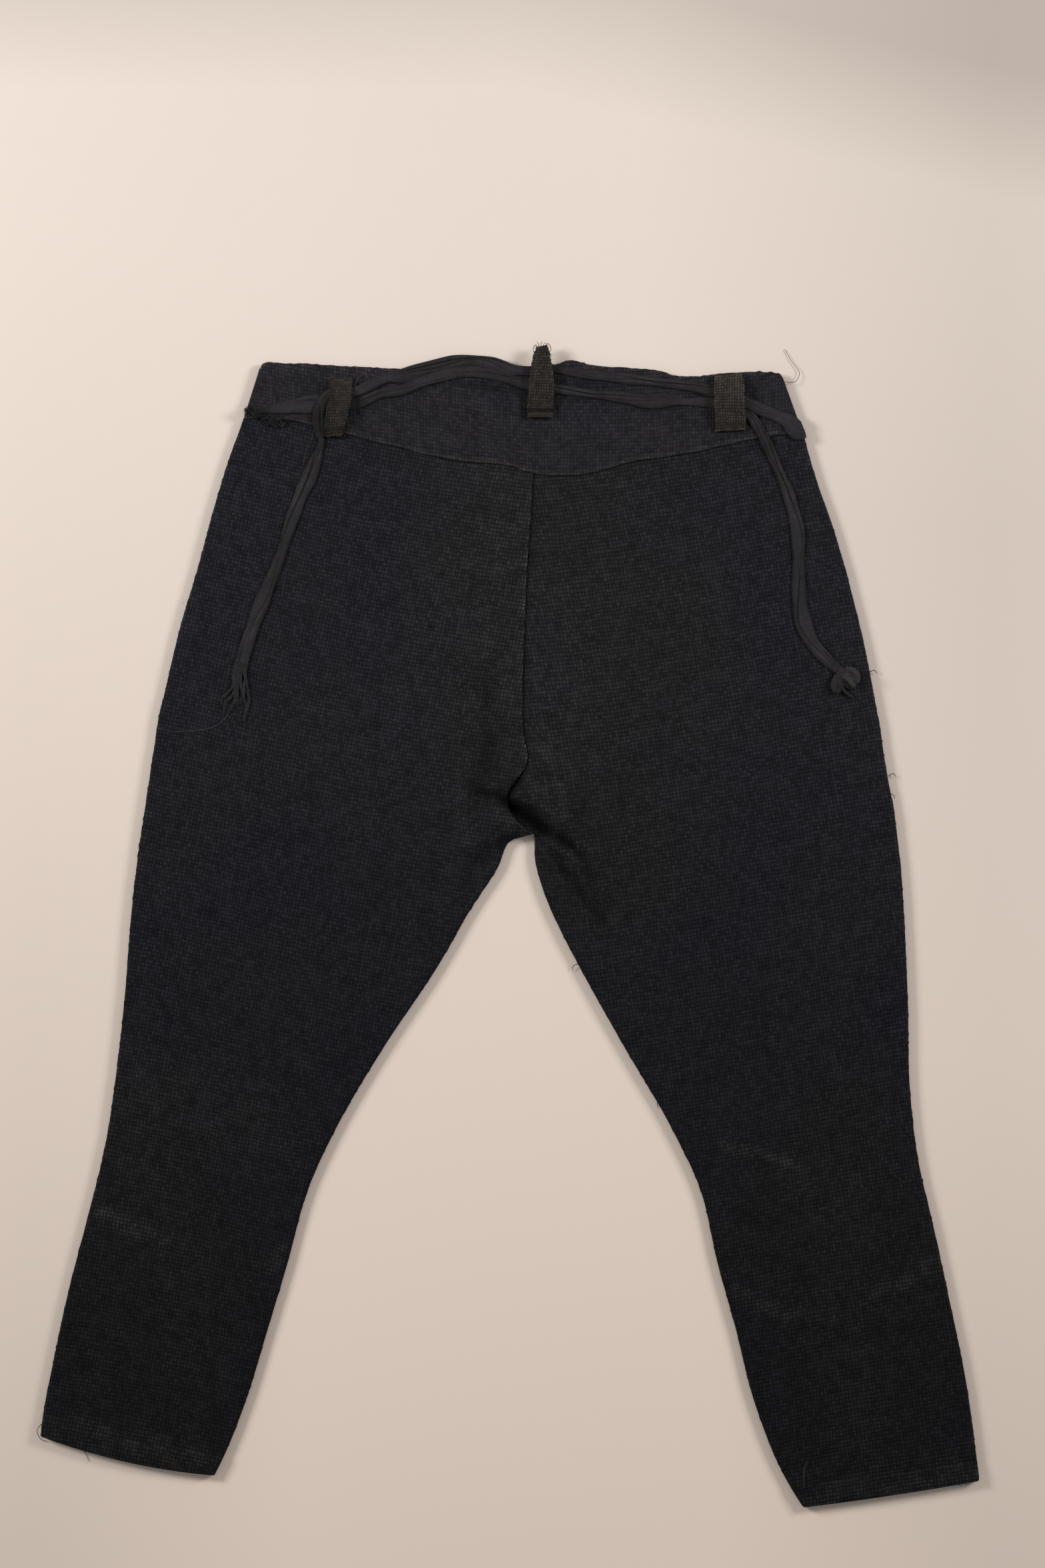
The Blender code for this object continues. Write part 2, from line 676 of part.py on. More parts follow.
def back_panel(name, side, material):
    """Back of one leg, from the yoke seam to the hem, with the folds beside the crotch."""
    rows = panel_rows(side)
    top_row = rows[0]
    hem_row = len(rows) - 2
    outside = []
    inside = []
    for number, row in enumerate(rows):
        width = math.dist(row.inner, row.outer)
        top_width = math.dist(top_row.inner, top_row.outer)
        rise = HEM_RISE if number >= hem_row else 0.0
        upper = []
        lower = []
        top_places = places(top_width, BACK_COLUMNS, BACK_SHARES, True)
        for place, top_place in zip(places(width, BACK_COLUMNS, BACK_SHARES, row.at_seam), top_places):
            fade = ease(0.0, FOLD_FADE, width - place.outside)
            if not row.at_seam:
                fade *= ease(0.0, FOLD_FADE, place.outside)
            shift = seam_shift(top_row, top_place.outside, number)
            x, y = along(row, place.outside)
            x, y = x + shift[0], y + shift[1]
            level = FLAT_TOP + fold_height(x, y) * fade
            upper.append((x, y, blend(BACK_EDGE, level + rise, place.level)))
            shift = seam_shift(top_row, top_place.inside, number)
            x, y = along(row, place.inside)
            lower.append((x + shift[0], y + shift[1], blend(BACK_EDGE, level - CLOTH, place.level)))
        outside.append(upper)
        inside.append(lower)
    return wall(name, outside, inside, material)


def front_rows(side):
    """Rows of a front panel: the same outline, with a straight centre seam up to the waist."""
    waist = YOKE[0] if side < 0 else YOKE[-1]
    corner = (waist.waist_x, waist.waist_y - FRONT_WAIST_DROP)
    middle = yoke_line(SEAT[0].seam_x)[0]
    top = (middle[0], middle[1] - FRONT_WAIST_DROP)
    crotch = (SEAT[-1].seam_x, SEAT[-1].seam_y)
    rows = [PanelRow((top[0] + side * SEAM_GAP / 2, top[1]), corner, True, 0.0)]
    for row in seat_rows():
        share = (top[1] - row[3]) / (top[1] - crotch[1])
        x, y = blend_points(top, crotch, share)
        outer = tuple(row[0:2] if side < 0 else row[4:6])
        rows.append(PanelRow((x + side * SEAM_GAP / 2, y), outer, True, 0.0))
    return rows + leg_rows(side, rows[-1].outer, crotch)


def front_panel(name, side, material):
    """Front of one leg, which lies flat on the surface under the back."""
    outside = []
    inside = []
    for row in front_rows(side):
        width = math.dist(row.inner, row.outer)
        lower = []
        upper = []
        for place in places(width, FRONT_COLUMNS, FRONT_SHARES, row.at_seam):
            lower.append((*along(row, place.outside), blend(FRONT_EDGE, 0.0, place.level)))
            upper.append((*along(row, place.inside), blend(FRONT_EDGE, CLOTH, place.level)))
        outside.append(lower)
        inside.append(upper)
    return wall(name, outside, inside, material)


def yoke_columns():
    """Places of the yoke's columns along its seam, the same as the top rows of the panels."""
    columns = []
    for side in (-1, 1):
        row = panel_rows(side)[0]
        width = math.dist(row.inner, row.outer)
        found = places(width, BACK_COLUMNS, BACK_SHARES, True)[2:]
        spots = [(along(row, p.outside)[0], along(row, p.inside)[0], p.level) for p in found]
        if side < 0:
            spots.reverse()
        columns += spots
        if side < 0:
            columns.append((SEAT[0].seam_x, SEAT[0].seam_x, 1.0))
    return columns


def back_yoke(material):
    """The curved yoke across the back of the waist, rolled over at both sides."""
    outside = []
    inside = []
    for outside_x, inside_x, level in yoke_columns():
        upper = []
        lower = []
        for layer, x in ((upper, outside_x), (lower, inside_x)):
            waist, seam = yoke_line(x)
            height = math.dist(waist, seam)
            start = (SEAM_GAP / 2) / height
            shares = [start, YOKE_TURNING / height, (YOKE_TURNING + TURNING_FALL) / height]
            for share in shares + list(YOKE_HEIGHTS):
                place = blend_points(seam, waist, share)
                top = FLAT_TOP + yoke_rise(share * height)
                surface = top if layer is upper else FLAT_TOP - CLOTH
                layer.append((*place, blend(BACK_EDGE, surface, level)))
        outside.append(upper)
        inside.append(lower)
    return wall("back_yoke", outside, inside, material)


def belt_loop(name, table, material):
    """A strip of doubled cloth sewn to the yoke, arched over the ties."""
    rows = dense_rows([list(row) for row in table], [LOOP_STEPS] * len(table))
    outside = []
    inside = []
    for row in rows:
        left, right, lift = row[0:2], row[2:4], row[4]
        upper = []
        lower = []
        ground = max(highest_near(*left, TIE_REACH), highest_near(*right, TIE_REACH))
        for column in range(LOOP_COLUMNS):
            share = column / (LOOP_COLUMNS - 1)
            place = blend_points(left, right, share)
            base = ground + SEAM_GAP + lift
            crown = LOOP_CROWN * 4.0 * share * (1.0 - share)
            upper.append((*place, base + LOOP_CLOTH + crown))
            lower.append((*place, base))
        outside.append(upper)
        inside.append(lower)
    return wall(name, outside, inside, material)


def tie_stations(table):
    """Middle points and widths along a tie, about a tie's width apart."""
    numbers = [list(point) for point in table]
    steps = [max(1, round(math.dist(a[:2], b[:2]) / TIE_STEP)) for a, b in zip(table, table[1:])]
    stations = []
    for x, y, width, lift in dense_rows(numbers, steps):
        height = highest_near(x, y, TIE_REACH) + TIE_CLEARANCE + TAPE / 2 + lift
        stations.append(((x, y, height), width))
    return stations


def tie_section(before, middle, after, width):
    """The six corners of a flat tape across its run."""
    run = [b - a for a, b in zip(before, after)]
    length = math.sqrt(sum(value * value for value in run))
    run = [value / length for value in run]
    level = math.hypot(run[0], run[1])
    across = (run[1] / level, -run[0] / level, 0.0)
    normal = (-across[1] * run[2], across[0] * run[2], across[1] * run[0] - across[0] * run[1])
    half = width / 2
    flat = half - TIE_BEVEL
    corners = [(-half, 0.0), (-flat, TAPE / 2), (flat, TAPE / 2), (half, 0.0)]
    corners += [(flat, -TAPE / 2), (-flat, -TAPE / 2)]
    return [tuple(m + a * s + n * t for m, a, n in zip(middle, across, normal)) for s, t in corners]


def sweep_tape(name, stations, material):
    """A flat tape through the stations, closed at both ends."""
    middles = [station[0] for station in stations]
    points = []
    last = len(stations) - 1
    for at, (middle, width) in enumerate(stations):
        before = middles[max(at - 1, 0)]
        after = middles[min(at + 1, last)]
        points += tie_section(before, middle, after, width)
    corners = 6
    faces = [list(range(corners)), [last * corners + corner for corner in reversed(range(corners))]]
    for at in range(last):
        for corner in range(corners):
            beside = (corner + 1) % corners
            here = at * corners
            there = here + corners
            faces.append([here + corner, here + beside, there + beside, there + corner])
    return finish(name, points, faces, material)


def long_tie(material):
    """The tie that comes round the right side edge and ends frayed on the left."""
    waist, seam = yoke_line(YOKE[-1].seam_x)
    length = math.dist(waist, seam)
    edge = blend_points(seam, waist, WRAP_HEIGHT / length)
    outward = ((waist[1] - seam[1]) / length, (seam[0] - waist[0]) / length)
    wrapped = []
    for point in EDGE_WRAP:
        place = (edge[0] + outward[0] * point.out, edge[1] + outward[1] * point.out, point.height)
        wrapped.append((place, WRAP_WIDTH))
    return sweep_tape("waist_tie_long", wrapped + tie_stations(LONG_TIE), material)


def short_tie(material):
    """The tie that starts as a torn stub on the left and ends in a knot on the right."""
    return sweep_tape("waist_tie_short", tie_stations(SHORT_TIE), material)


def torn_end(name, start, direction, length, width, locks, material):
    """A short backing across the end of a tape, with tapering locks that part from each other."""
    count = len(locks)
    across = (-direction[1], direction[0])
    base = highest_near(*start, TIE_REACH) + TIE_CLEARANCE
    points = []
    for distance in (0.0, length):
        for index in range(count + 1):
            offset = width * (index / count - 0.5)
            x = start[0] + direction[0] * distance + across[0] * offset
            y = start[1] + direction[1] * distance + across[1] * offset
            points.append((x, y, base + TAPE))
            points.append((x, y, base))
    row = 2 * (count + 1)
    faces = []
    for index in range(count):
        here = 2 * index
        faces.append([here, here + 2, here + 2 + row, here + row])
        faces.append([here + 1, here + 3, here + 3 + row, here + 1 + row])
        faces.append([here, here + 1, here + 3, here + 2])
    faces.append([0, 1, 1 + row, row])
    faces.append([row - 2, row - 1, 2 * row - 1, 2 * row - 2])
    for index, lock in enumerate(locks):
        root = row + 2 * index
        ring = [root, root + 2, root + 3, root + 1]
        stops = [(lock.bend_x, lock.bend_y, lock.width), (lock.tip_x, lock.tip_y, LOCK_TIP)]
        for x, y, size in stops:
            half = size / 2
            first = len(points)
            spread = [(-half, LOCK_THICKNESS), (half, LOCK_THICKNESS), (half, 0.0), (-half, 0.0)]
            points += [(x + across[0] * s, y + across[1] * s, base + h) for s, h in spread]
            following = [first, first + 1, first + 2, first + 3]
            for side in range(4):
                beside = (side + 1) % 4
                faces.append([ring[side], ring[beside], following[beside], following[side]])
            ring = following
        faces.append(ring)
    return finish(name, points, faces, material)


def fray(material):
    """Frayed end of the long tie."""
    before, end = LONG_TIE[-2], LONG_TIE[-1]
    run = (end.x - before.x, end.y - before.y)
    length = math.hypot(*run)
    direction = (run[0] / length, run[1] / length)
    start = (end.x + direction[0] * SEAM_GAP, end.y + direction[1] * SEAM_GAP)
    return torn_end("waist_tie_fray", start, direction, FRAY_LENGTH, FRAY_WIDTH, FRAY_LOCKS, material)


def tuft(material):
    """Torn threads under the stub of the short tie."""
    return torn_end("waist_tie_tuft", TUFT_START, (0.0, -1.0), TUFT_LENGTH, TUFT_WIDTH, TUFT_LOCKS, material)


def knot_lobe(name, lobe, material):
    """One rounded lobe of the knot, lying on the back."""
    base = highest_near(lobe.x, lobe.y, TIE_REACH) + TIE_CLEARANCE
    shape = bmesh.new()
    bmesh.ops.create_uvsphere(shape, u_segments=KNOT_SEGMENTS, v_segments=KNOT_RINGS, radius=1.0)
    turn = math.radians(lobe.turn)
    points = []
    for vertex in shape.verts:
        a = vertex.co.x * lobe.half_length
        b = vertex.co.y * lobe.half_width
        x = lobe.x + a * math.cos(turn) - b * math.sin(turn)
        y = lobe.y + a * math.sin(turn) + b * math.cos(turn)
        points.append((x, y, base + lobe.half_height * (1.0 + vertex.co.z)))
    faces = [[vertex.index for vertex in face.verts] for face in shape.faces]
    shape.free()
    return finish(name, points, faces, material)


def knot(material):
    """The knot at the end of the short tie: three lobes joined into one lump."""
    lobes = [knot_lobe("waist_tie_knot", KNOT_LOBES[0], material)]
    for lobe in KNOT_LOBES[1:]:
        guide = knot_lobe(lobe.name.replace(" ", "_"), lobe, material)
        guide.hide_render = True
        guide.display_type = "WIRE"
        union = lobes[0].modifiers.new(lobe.name, "BOOLEAN")
        union.operation = "UNION"
        union.solver = "EXACT"
        union.object = guide
    return lobes[0]


def main():
    clear_scene()
    breeches_cloth = cloth_material("breeches_cloth", (0.017, 0.016, 0.019), 0.92)
    loop_cloth = cloth_material("loop_cloth", (0.031, 0.026, 0.024), 0.92)
    tie_tape = cloth_material("tie_tape", (0.019, 0.018, 0.023), 0.85)
    for name, side in (("left", -1), ("right", 1)):
        front_panel(f"front_panel_{name}", side, breeches_cloth)
        back_panel(f"back_panel_{name}", side, breeches_cloth)
    back_yoke(breeches_cloth)
    belt_loop("belt_loop_left", LEFT_LOOP, loop_cloth)
    belt_loop("belt_loop_centre", CENTRE_LOOP, loop_cloth)
    belt_loop("belt_loop_right", RIGHT_LOOP, loop_cloth)
    long_tie(tie_tape)
    short_tie(tie_tape)
    fray(tie_tape)
    tuft(tie_tape)
    knot(tie_tape)


main()
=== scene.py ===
"""The looks of a pair of knee breeches, laid flat on their front with the back up.

X runs to the right of the back view, Y from the hems to the waist, and Z up from the surface that they
lie on. The tables and the cloth's heights are in millimetres, and every mesh is scaled to metres.
"""

import logging
import math
from dataclasses import dataclass, field
from enum import Enum
from typing import Callable, NamedTuple, Sequence

import bmesh
import bpy
import numpy as np
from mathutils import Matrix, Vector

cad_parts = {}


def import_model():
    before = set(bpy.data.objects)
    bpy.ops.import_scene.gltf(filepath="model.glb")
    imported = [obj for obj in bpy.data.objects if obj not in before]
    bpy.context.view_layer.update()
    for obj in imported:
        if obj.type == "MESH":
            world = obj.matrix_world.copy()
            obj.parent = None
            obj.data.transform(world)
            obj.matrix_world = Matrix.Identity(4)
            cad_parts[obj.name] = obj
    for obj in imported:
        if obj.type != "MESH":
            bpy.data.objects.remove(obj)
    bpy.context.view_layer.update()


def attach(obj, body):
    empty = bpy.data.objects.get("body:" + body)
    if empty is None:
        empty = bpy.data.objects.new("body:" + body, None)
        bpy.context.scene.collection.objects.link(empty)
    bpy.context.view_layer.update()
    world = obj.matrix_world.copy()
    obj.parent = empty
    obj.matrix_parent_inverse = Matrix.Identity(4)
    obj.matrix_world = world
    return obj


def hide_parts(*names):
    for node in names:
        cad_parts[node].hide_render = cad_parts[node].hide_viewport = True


Array = np.ndarray
Color = tuple[float, float, float]
LOG = logging.getLogger("breeches")

SCALE = 0.001

# Cloth and heights of the laid garment
CLOTH = 2.0
LOOP_CLOTH = 1.8
TAPE = 1.2
SEAM_GAP = 0.3
LAYER_GAP = 1.0
FLAT_TOP = 2 * CLOTH + LAYER_GAP
ROLL = FLAT_TOP / 2
BACK_EDGE = ROLL + SEAM_GAP / 2
FRONT_EDGE = ROLL - SEAM_GAP / 2
DEEPEST_FOLD = -0.3


class Side(Enum):
    """Which leg of the back view."""
    LEFT = -1
    RIGHT = 1

    @property
    def word(self) -> str:
        """The side as the names of pieces have it."""
        return self.name.lower()


class SeatSection(NamedTuple):
    """One section across both legs above the crotch: left side, centre-back seam and right side."""
    left_x: float
    left_y: float
    seam_x: float
    seam_y: float
    right_x: float
    right_y: float


class LegSection(NamedTuple):
    """One section across a leg below the crotch, with the drop of its middle below a straight line."""
    outer_x: float
    outer_y: float
    inner_x: float
    inner_y: float
    bow: float


class YokeSection(NamedTuple):
    """One line from the waist edge to the yoke seam."""
    waist_x: float
    waist_y: float
    seam_x: float
    seam_y: float


class CreasePoint(NamedTuple):
    """A point of the fold's foot, with the height of the fold beside it and its width."""
    x: float
    y: float
    height: float
    width: float

class Stretch(NamedTuple):
    """A soft patch along a straight line: its ends, its height or strength, and its reach to each side."""
    start_x: float
    start_y: float
    end_x: float
    end_y: float
    amount: float
    reach: float


class TiePoint(NamedTuple):
    """A point of a tie's middle line, with its folded width and its lift over what lies below."""
    x: float
    y: float
    width: float
    lift: float


class WrapPoint(NamedTuple):
    """A point of a tie that turns round the side edge: distance out from the edge, and height."""
    out: float
    height: float


class LoopRow(NamedTuple):
    """One row across a belt loop, with its lift off the yoke."""
    left_x: float
    left_y: float
    right_x: float
    right_y: float
    lift: float


class Lock(NamedTuple):
    """A lock of torn threads: the place of its bend and of its tip, and its width at the bend."""
    bend_x: float
    bend_y: float
    tip_x: float
    tip_y: float
    width: float


SEAT = [SeatSection(*row) for row in (
    (-199.75, 381, 17.75, 339.5, 220.75, 369), (-211.75, 347.5, 15.75, 305, 230.25, 336),
    (-222, 314, 13.25, 269, 242.5, 301), (-234.5, 267.5, 11.25, 220, 255.75, 255),
    (-247.25, 225, 9.75, 175, 266.25, 212), (-253.75, 198.5, 10.25, 147.5, 271.5, 186),
    (-259.75, 172.5, 12.5, 120, 276.25, 160), (-262.5, 162, 6.25, 111, 278.25, 150),
    (-264.5, 151, -0.75, 100, 279.75, 139), (-265.75, 140, -0.75, 90, 281.25, 128.5),
    (-268, 128, 7.75, 77, 283.25, 116.5), (-269.25, 119, 18.25, 69.5, 284.5, 109),
)]

LEFT_LEG = [LegSection(*row) for row in (
    (-270.25, 112, 9.75, 67, 0), (-271.5, 104, 0.75, 64, 0), (-274, 87, -8.25, 45, 0),
    (-278.75, 55, -27.75, 15, 0), (-284, 10, -53.75, -30, 0), (-289, -52.5, -93.75, -90, 0),
    (-296, -115, -129.25, -150, 0), (-303.25, -162.5, -150.25, -195, 0),
    (-318.25, -224, -167.25, -255, 0.5), (-330.25, -270, -180.75, -300, 1.5),
    (-343.25, -330, -199.25, -360, 3.5), (-350.5, -368, -213.75, -396.5, 4.8),
    (-352.25, -382.5, -221.25, -412, 4.8),
)]

RIGHT_LEG = [LegSection(*row) for row in (
    (285.75, 103, 18.75, 64, 0), (288.5, 89, 19.25, 50, 0), (291.25, 67.5, 24.25, 30, 0),
    (294.5, 37, 36.75, 0, 0), (296.5, 5, 52.25, -30, 0), (299.25, -58, 85.75, -90, 0),
    (300.75, -122, 120.75, -150, 0), (306, -170, 142.25, -195, 0), (320, -232.5, 156.75, -255, 0),
    (330, -279, 169.25, -300, 0.3), (342.5, -340, 184.75, -360, 0.6), (351, -401, 210.25, -420, 1),
    (352.75, -416, 220.25, -436, 1),
)]

YOKE = [YokeSection(*row) for row in (
    (-186.25, 423.4, -199.75, 381), (-163.25, 422.4, -168, 379.5), (-140.75, 421.5, -144.75, 374.5),
    (-115.75, 420, -117.25, 367.5), (-90.75, 418.8, -87.25, 360), (-62.25, 417.5, -59.75, 353),
    (-32.25, 416.5, -32.25, 348), (-4.75, 416.5, -2.25, 345.75), (16.25, 417, 17.75, 339.5),
    (32.75, 420.5, 35.75, 337.5), (43.75, 424.75, 51.75, 338), (61.25, 421.5, 70.25, 342),
    (80.75, 419.5, 87.75, 347.25), (109.25, 417.5, 112.75, 351.25), (125.25, 413.25, 134.75, 354.5),
    (141.25, 412.75, 157.25, 359.5), (163.75, 415.25, 181.25, 364.75), (185.25, 416.25, 200.25, 368.25),
    (204.25, 415, 220.75, 369),
)]

# The deep fold at the crotch stands to the left of this line, followed downwards
CREASE = [CreasePoint(*row) for row in (
    (12.25, 134, 0, 20), (11.75, 121, 3.5, 24), (7.25, 111, 6.5, 30), (0.75, 102, 7.5, 34),
    (-0.75, 96, 8, 35), (1.75, 90.5, 8, 35), (9.25, 88, 8, 34), (18.75, 86, 8, 31), (26.75, 79, 7.5, 27),
    (33.75, 70, 6.5, 22), (42.75, 63.5, 5, 18), (50.75, 56.5, 3.5, 15), (59.75, 43, 1.5, 12),
    (66.25, 25, 0, 10),
)]

RIDGES = [Stretch(*row) for row in (
    (12.75, 87.5, 12.75, 87.5, 3.5, 62), (6, 88, 24, 74, -3.2, 10), (-32.25, 110, -37.25, 30, 2.2, 14),
    (-14.75, 147.5, -22.25, 102.5, -2.6, 8), (-21.25, 101.5, -8.25, 99, -2, 6),
    (-14.75, 185, -21.25, 120, -0.9, 20), (-9.75, 82.5, -3.75, 77.5, 2.8, 16),
    (2.75, 130, -2.25, 115, 1.5, 9), (28.75, 59, 41.75, 22.5, 2.4, 7), (40.25, 51, 52.75, 27.5, -2, 7),
    (52.75, 27.5, 68.25, 5, -1.5, 6), (-19.75, 45, -12, 58, -1.2, 10),
)]

# Shallow creases that are too fine for the solids
WRINKLES = [Stretch(*row) for row in (
    (162, -165, 221, -181, 0.7, 7), (170, -275, 243, -297.5, 0.8, 8), (243, -297.5, 325, -250, 0.8, 8),
    (180, -226, 215, -222, -0.7, 9), (-307, -215.5, -259, -238, 0.7, 9), (-171.5, -244, -186, -257, 0.7, 8),
    (-34, 100, -33, 65, 0.8, 8), (-290, -140, -170, -176, 0.6, 22), (-320, -300, -200, -322, -0.6, 24),
    (110, -60, 260, -20, 0.6, 34), (160, -130, 290, -104, -0.5, 24), (-250, 20, -110, -24, 0.6, 34),
    (60, 250, 220, 205, 0.6, 40), (-190, 240, -50, 290, 0.5, 40), (-120, 180, -40, 150, -0.6, 30),
    (60, 140, 130, 165, -0.6, 30), (60, 322, 130, 330, -0.5, 22), (-90, 330, -30, 318, 0.5, 26),
)]

# Shallow troughs of the hidden fronts, for the right leg, mirrored for the left one
TROUGHS = [Stretch(*row) for row in (
    (20, 90, 95, 30, 0.45, 9), (60, 40, 150, -10, 0.45, 12), (160, -165, 240, -180, 0.45, 8),
    (190, -270, 300, -285, 0.45, 9), (90, 330, 200, 300, 0.45, 14),
)]

# The long tie comes up round the rolled right side edge of the yoke
WRAP_HEIGHT = 4.0
WRAP_WIDTH = 12.8
EDGE_WRAP = [WrapPoint(*row) for row in (
    (1.2, 2.95), (1, 4.5), (-0.3, 6.2), (-2.8, 6.95),
)]

# From there through the loops to the frayed end on the left
LONG_TIE = [TiePoint(*row) for row in (
    (209.5, 378.5, 12, 0), (201.75, 382.25, 11, 0), (188.75, 387.5, 9.4, 1), (170.25, 396, 8.5, 1.7),
    (153.25, 401, 8, 1.7), (137.75, 404.5, 7.5, 0.4), (109.25, 408.25, 7.5, 0), (77.25, 411.75, 7, 0),
    (45.75, 415.75, 7, 0), (32.75, 418.25, 7, 0), (14.25, 416.5, 7, 0), (2.25, 418, 7, 0),
    (-12.25, 423, 7.5, 0), (-24.75, 425, 7.5, 0), (-42.75, 424.5, 7.5, 0), (-60.5, 420.25, 7.5, 0),
    (-78.25, 414.5, 8, 0), (-96.25, 410, 8, 0.4), (-115.75, 401, 8, 1.7), (-126, 399.6, 7.5, 1.7),
    (-133.6, 399.8, 6.5, 1.9), (-139, 395, 7.2, 1.9), (-142.4, 387, 9.2, 1.6), (-142.9, 377, 9.4, 0.4),
    (-141.8, 368.4, 6.2, 0), (-140.9, 363.3, 3.8, 0), (-142.5, 358.6, 5.6, 0), (-145.4, 350, 10.4, 0),
    (-149, 340, 10.8, 0), (-155, 327, 9.8, 0), (-161.75, 309.5, 9.2, 0), (-171.25, 279, 8.2, 0),
    (-185, 245, 10, 0), (-196, 214, 10.5, 0), (-200.75, 197.5, 10.5, 0),
)]

# From the torn stub on the left through the loops to the knot on the right
SHORT_TIE = [TiePoint(*row) for row in (
    (-188, 386.2, 2.5, 0), (-179.5, 387.3, 5, 0), (-168.5, 388.9, 9.6, 0), (-157, 390.6, 13.4, 0),
    (-145.75, 391.8, 14, 0), (-130.25, 391.5, 10.5, 0), (-115.75, 392.5, 8, 0), (-97.75, 399, 8, 0),
    (-80.25, 402.5, 8, 0), (-60.25, 410, 8, 0), (-42.75, 414.5, 7.5, 0), (-24.75, 415.5, 7.5, 0),
    (-10.25, 413, 7.5, 0), (2.25, 409.25, 7.5, 0), (14.25, 406.5, 7.5, 0), (33.75, 403.5, 7, 0),
    (48, 401.2, 6.4, 0), (61.5, 399.2, 7, 0), (78, 397.6, 8, 0), (93.25, 395.2, 9.4, 0),
    (103, 393.8, 10.4, 0), (113, 394.2, 9.4, 0), (125.25, 394.5, 7.6, 0), (132.5, 393.2, 5.4, 0),
    (141, 393.4, 7.4, 0), (153.25, 392.5, 8, 0), (170.25, 388.5, 8, 0), (179.75, 383, 7.4, 0),
    (189.25, 369, 7.4, 0), (199.25, 348, 8, 0), (209.75, 322.5, 8.6, 0), (215.75, 299, 9.5, 0),
    (216.75, 265.5, 10, 0), (217, 249, 10.5, 0), (219.25, 232.5, 11, 0), (224.25, 217.5, 11, 0),
    (232.25, 206, 10.5, 0), (240.75, 197.5, 9, 0), (246, 192.5, 8, 0),
)]

LEFT_LOOP = [LoopRow(*row) for row in (
    (-138, 366.8, -125.4, 367.3, 0), (-139.2, 372.5, -124, 374, 1.2), (-138, 381, -121.4, 382, 3.2),
    (-136.4, 391, -119.4, 391, 4.6), (-134, 398, -118, 398, 4.6), (-134, 402.5, -117.75, 403, 3.4),
    (-138, 406, -117.75, 406.6, 2.2), (-138.4, 409.4, -117.75, 410.4, 0.4), (-137, 411.8, -118.6, 412, 0),
)]

CENTRE_LOOP = [LoopRow(*row) for row in (
    (13.5, 381.5, 32.1, 381, 0), (13, 387.5, 32.9, 387.5, 0.6), (14.25, 398, 33.4, 397, 3.4),
    (15.6, 414.5, 32.6, 414.5, 3.8), (17.6, 427, 30.6, 428, 3), (19.8, 434, 28.5, 435.7, 2),
)]

RIGHT_LOOP = [LoopRow(*row) for row in (
    (154, 370.75, 177.25, 372, 0), (154, 379, 177, 379, 2.2), (153.5, 390, 176, 390, 4.4),
    (153.25, 402, 175.5, 404, 4.6), (153.5, 408.5, 174.75, 410.5, 3.2), (154, 413, 173.75, 414.75, 0),
)]

# Each belt loop's rows and looks, among them its painted shadow and shade, from left to right
LOOPS = {
    "left": (LEFT_LOOP, {"tone": 1.08, "corner_shadow": 0.8, "side_shade": 0.4, "flat": (0.018, 0.045)}),
    "centre": (CENTRE_LOOP, {"tone": 1.05, "band_shadow_place": 5.6, "band_shadow_depth": 0.72, "flat": (0.019, 0.055)}),
    "right": (RIGHT_LOOP, {"tone": 1.25, "band_shadow_depth": 0.2, "foot_shade": 0.17, "flat": (0.0225, 0.045)}),
}

FRAY_LOCKS = [Lock(*row) for row in (
    (-208.5, 181, -216, 167, 1.9), (-206.5, 178.5, -214, 162.5, 1.8), (-204.8, 176.5, -210.5, 160, 1.7),
    (-203, 177.5, -206.8, 163.5, 1.6), (-200.6, 178.5, -201.3, 166, 1.6), (-198.4, 178, -198.9, 160, 1.7),
    (-196.4, 180.5, -197.2, 154.5, 1.5),
)]

# Places where the cloth is rubbed lighter, and painted highlights along the crests of the crotch fold and of
# the wrinkles
WORN_AND_HIGHLIGHTS = [Stretch(*row) for row in (
    (-8, 330, -10, 170, 0.08, 45), (-40, 260, -60, 170, 0.05, 70), (30, 230, 40, 150, 0.07, 60),
    (12.5, 136.5, 25.3, 130, 0.22, 4), (25.3, 130, 38.8, 103, 0.22, 4), (38.8, 103, 42, 78, 0.25, 4),
    (42, 78, 51, 61.5, 0.2, 4), (20, 108, 30, 88, 0.08, 12), (-4, 84, 0, 78, 0.12, 10),
    (-37, 97, -30, 64, 0.22, 7), (28, 66.5, 44, 55.5, 0.16, 6), (-307, -215.5, -259, -236, 0.36, 10),
    (-171.5, -244, -180, -255, 0.3, 10), (-285, -120, -180, -160, 0.08, 45),
    (-275, -170, -230, -330, 0.07, 40), (162, -165, 221, -181, 0.28, 7), (170, -275, 205, -291, 0.38, 9),
    (205, -291, 243, -297, 0.2, 7), (270, -282, 325, -250, 0.32, 9), (240, -190, 262, -380, 0.07, 38),
    (-330, -372, -235, -398, 0.14, 9), (225, -432, 350, -412, 0.14, 8),
)]
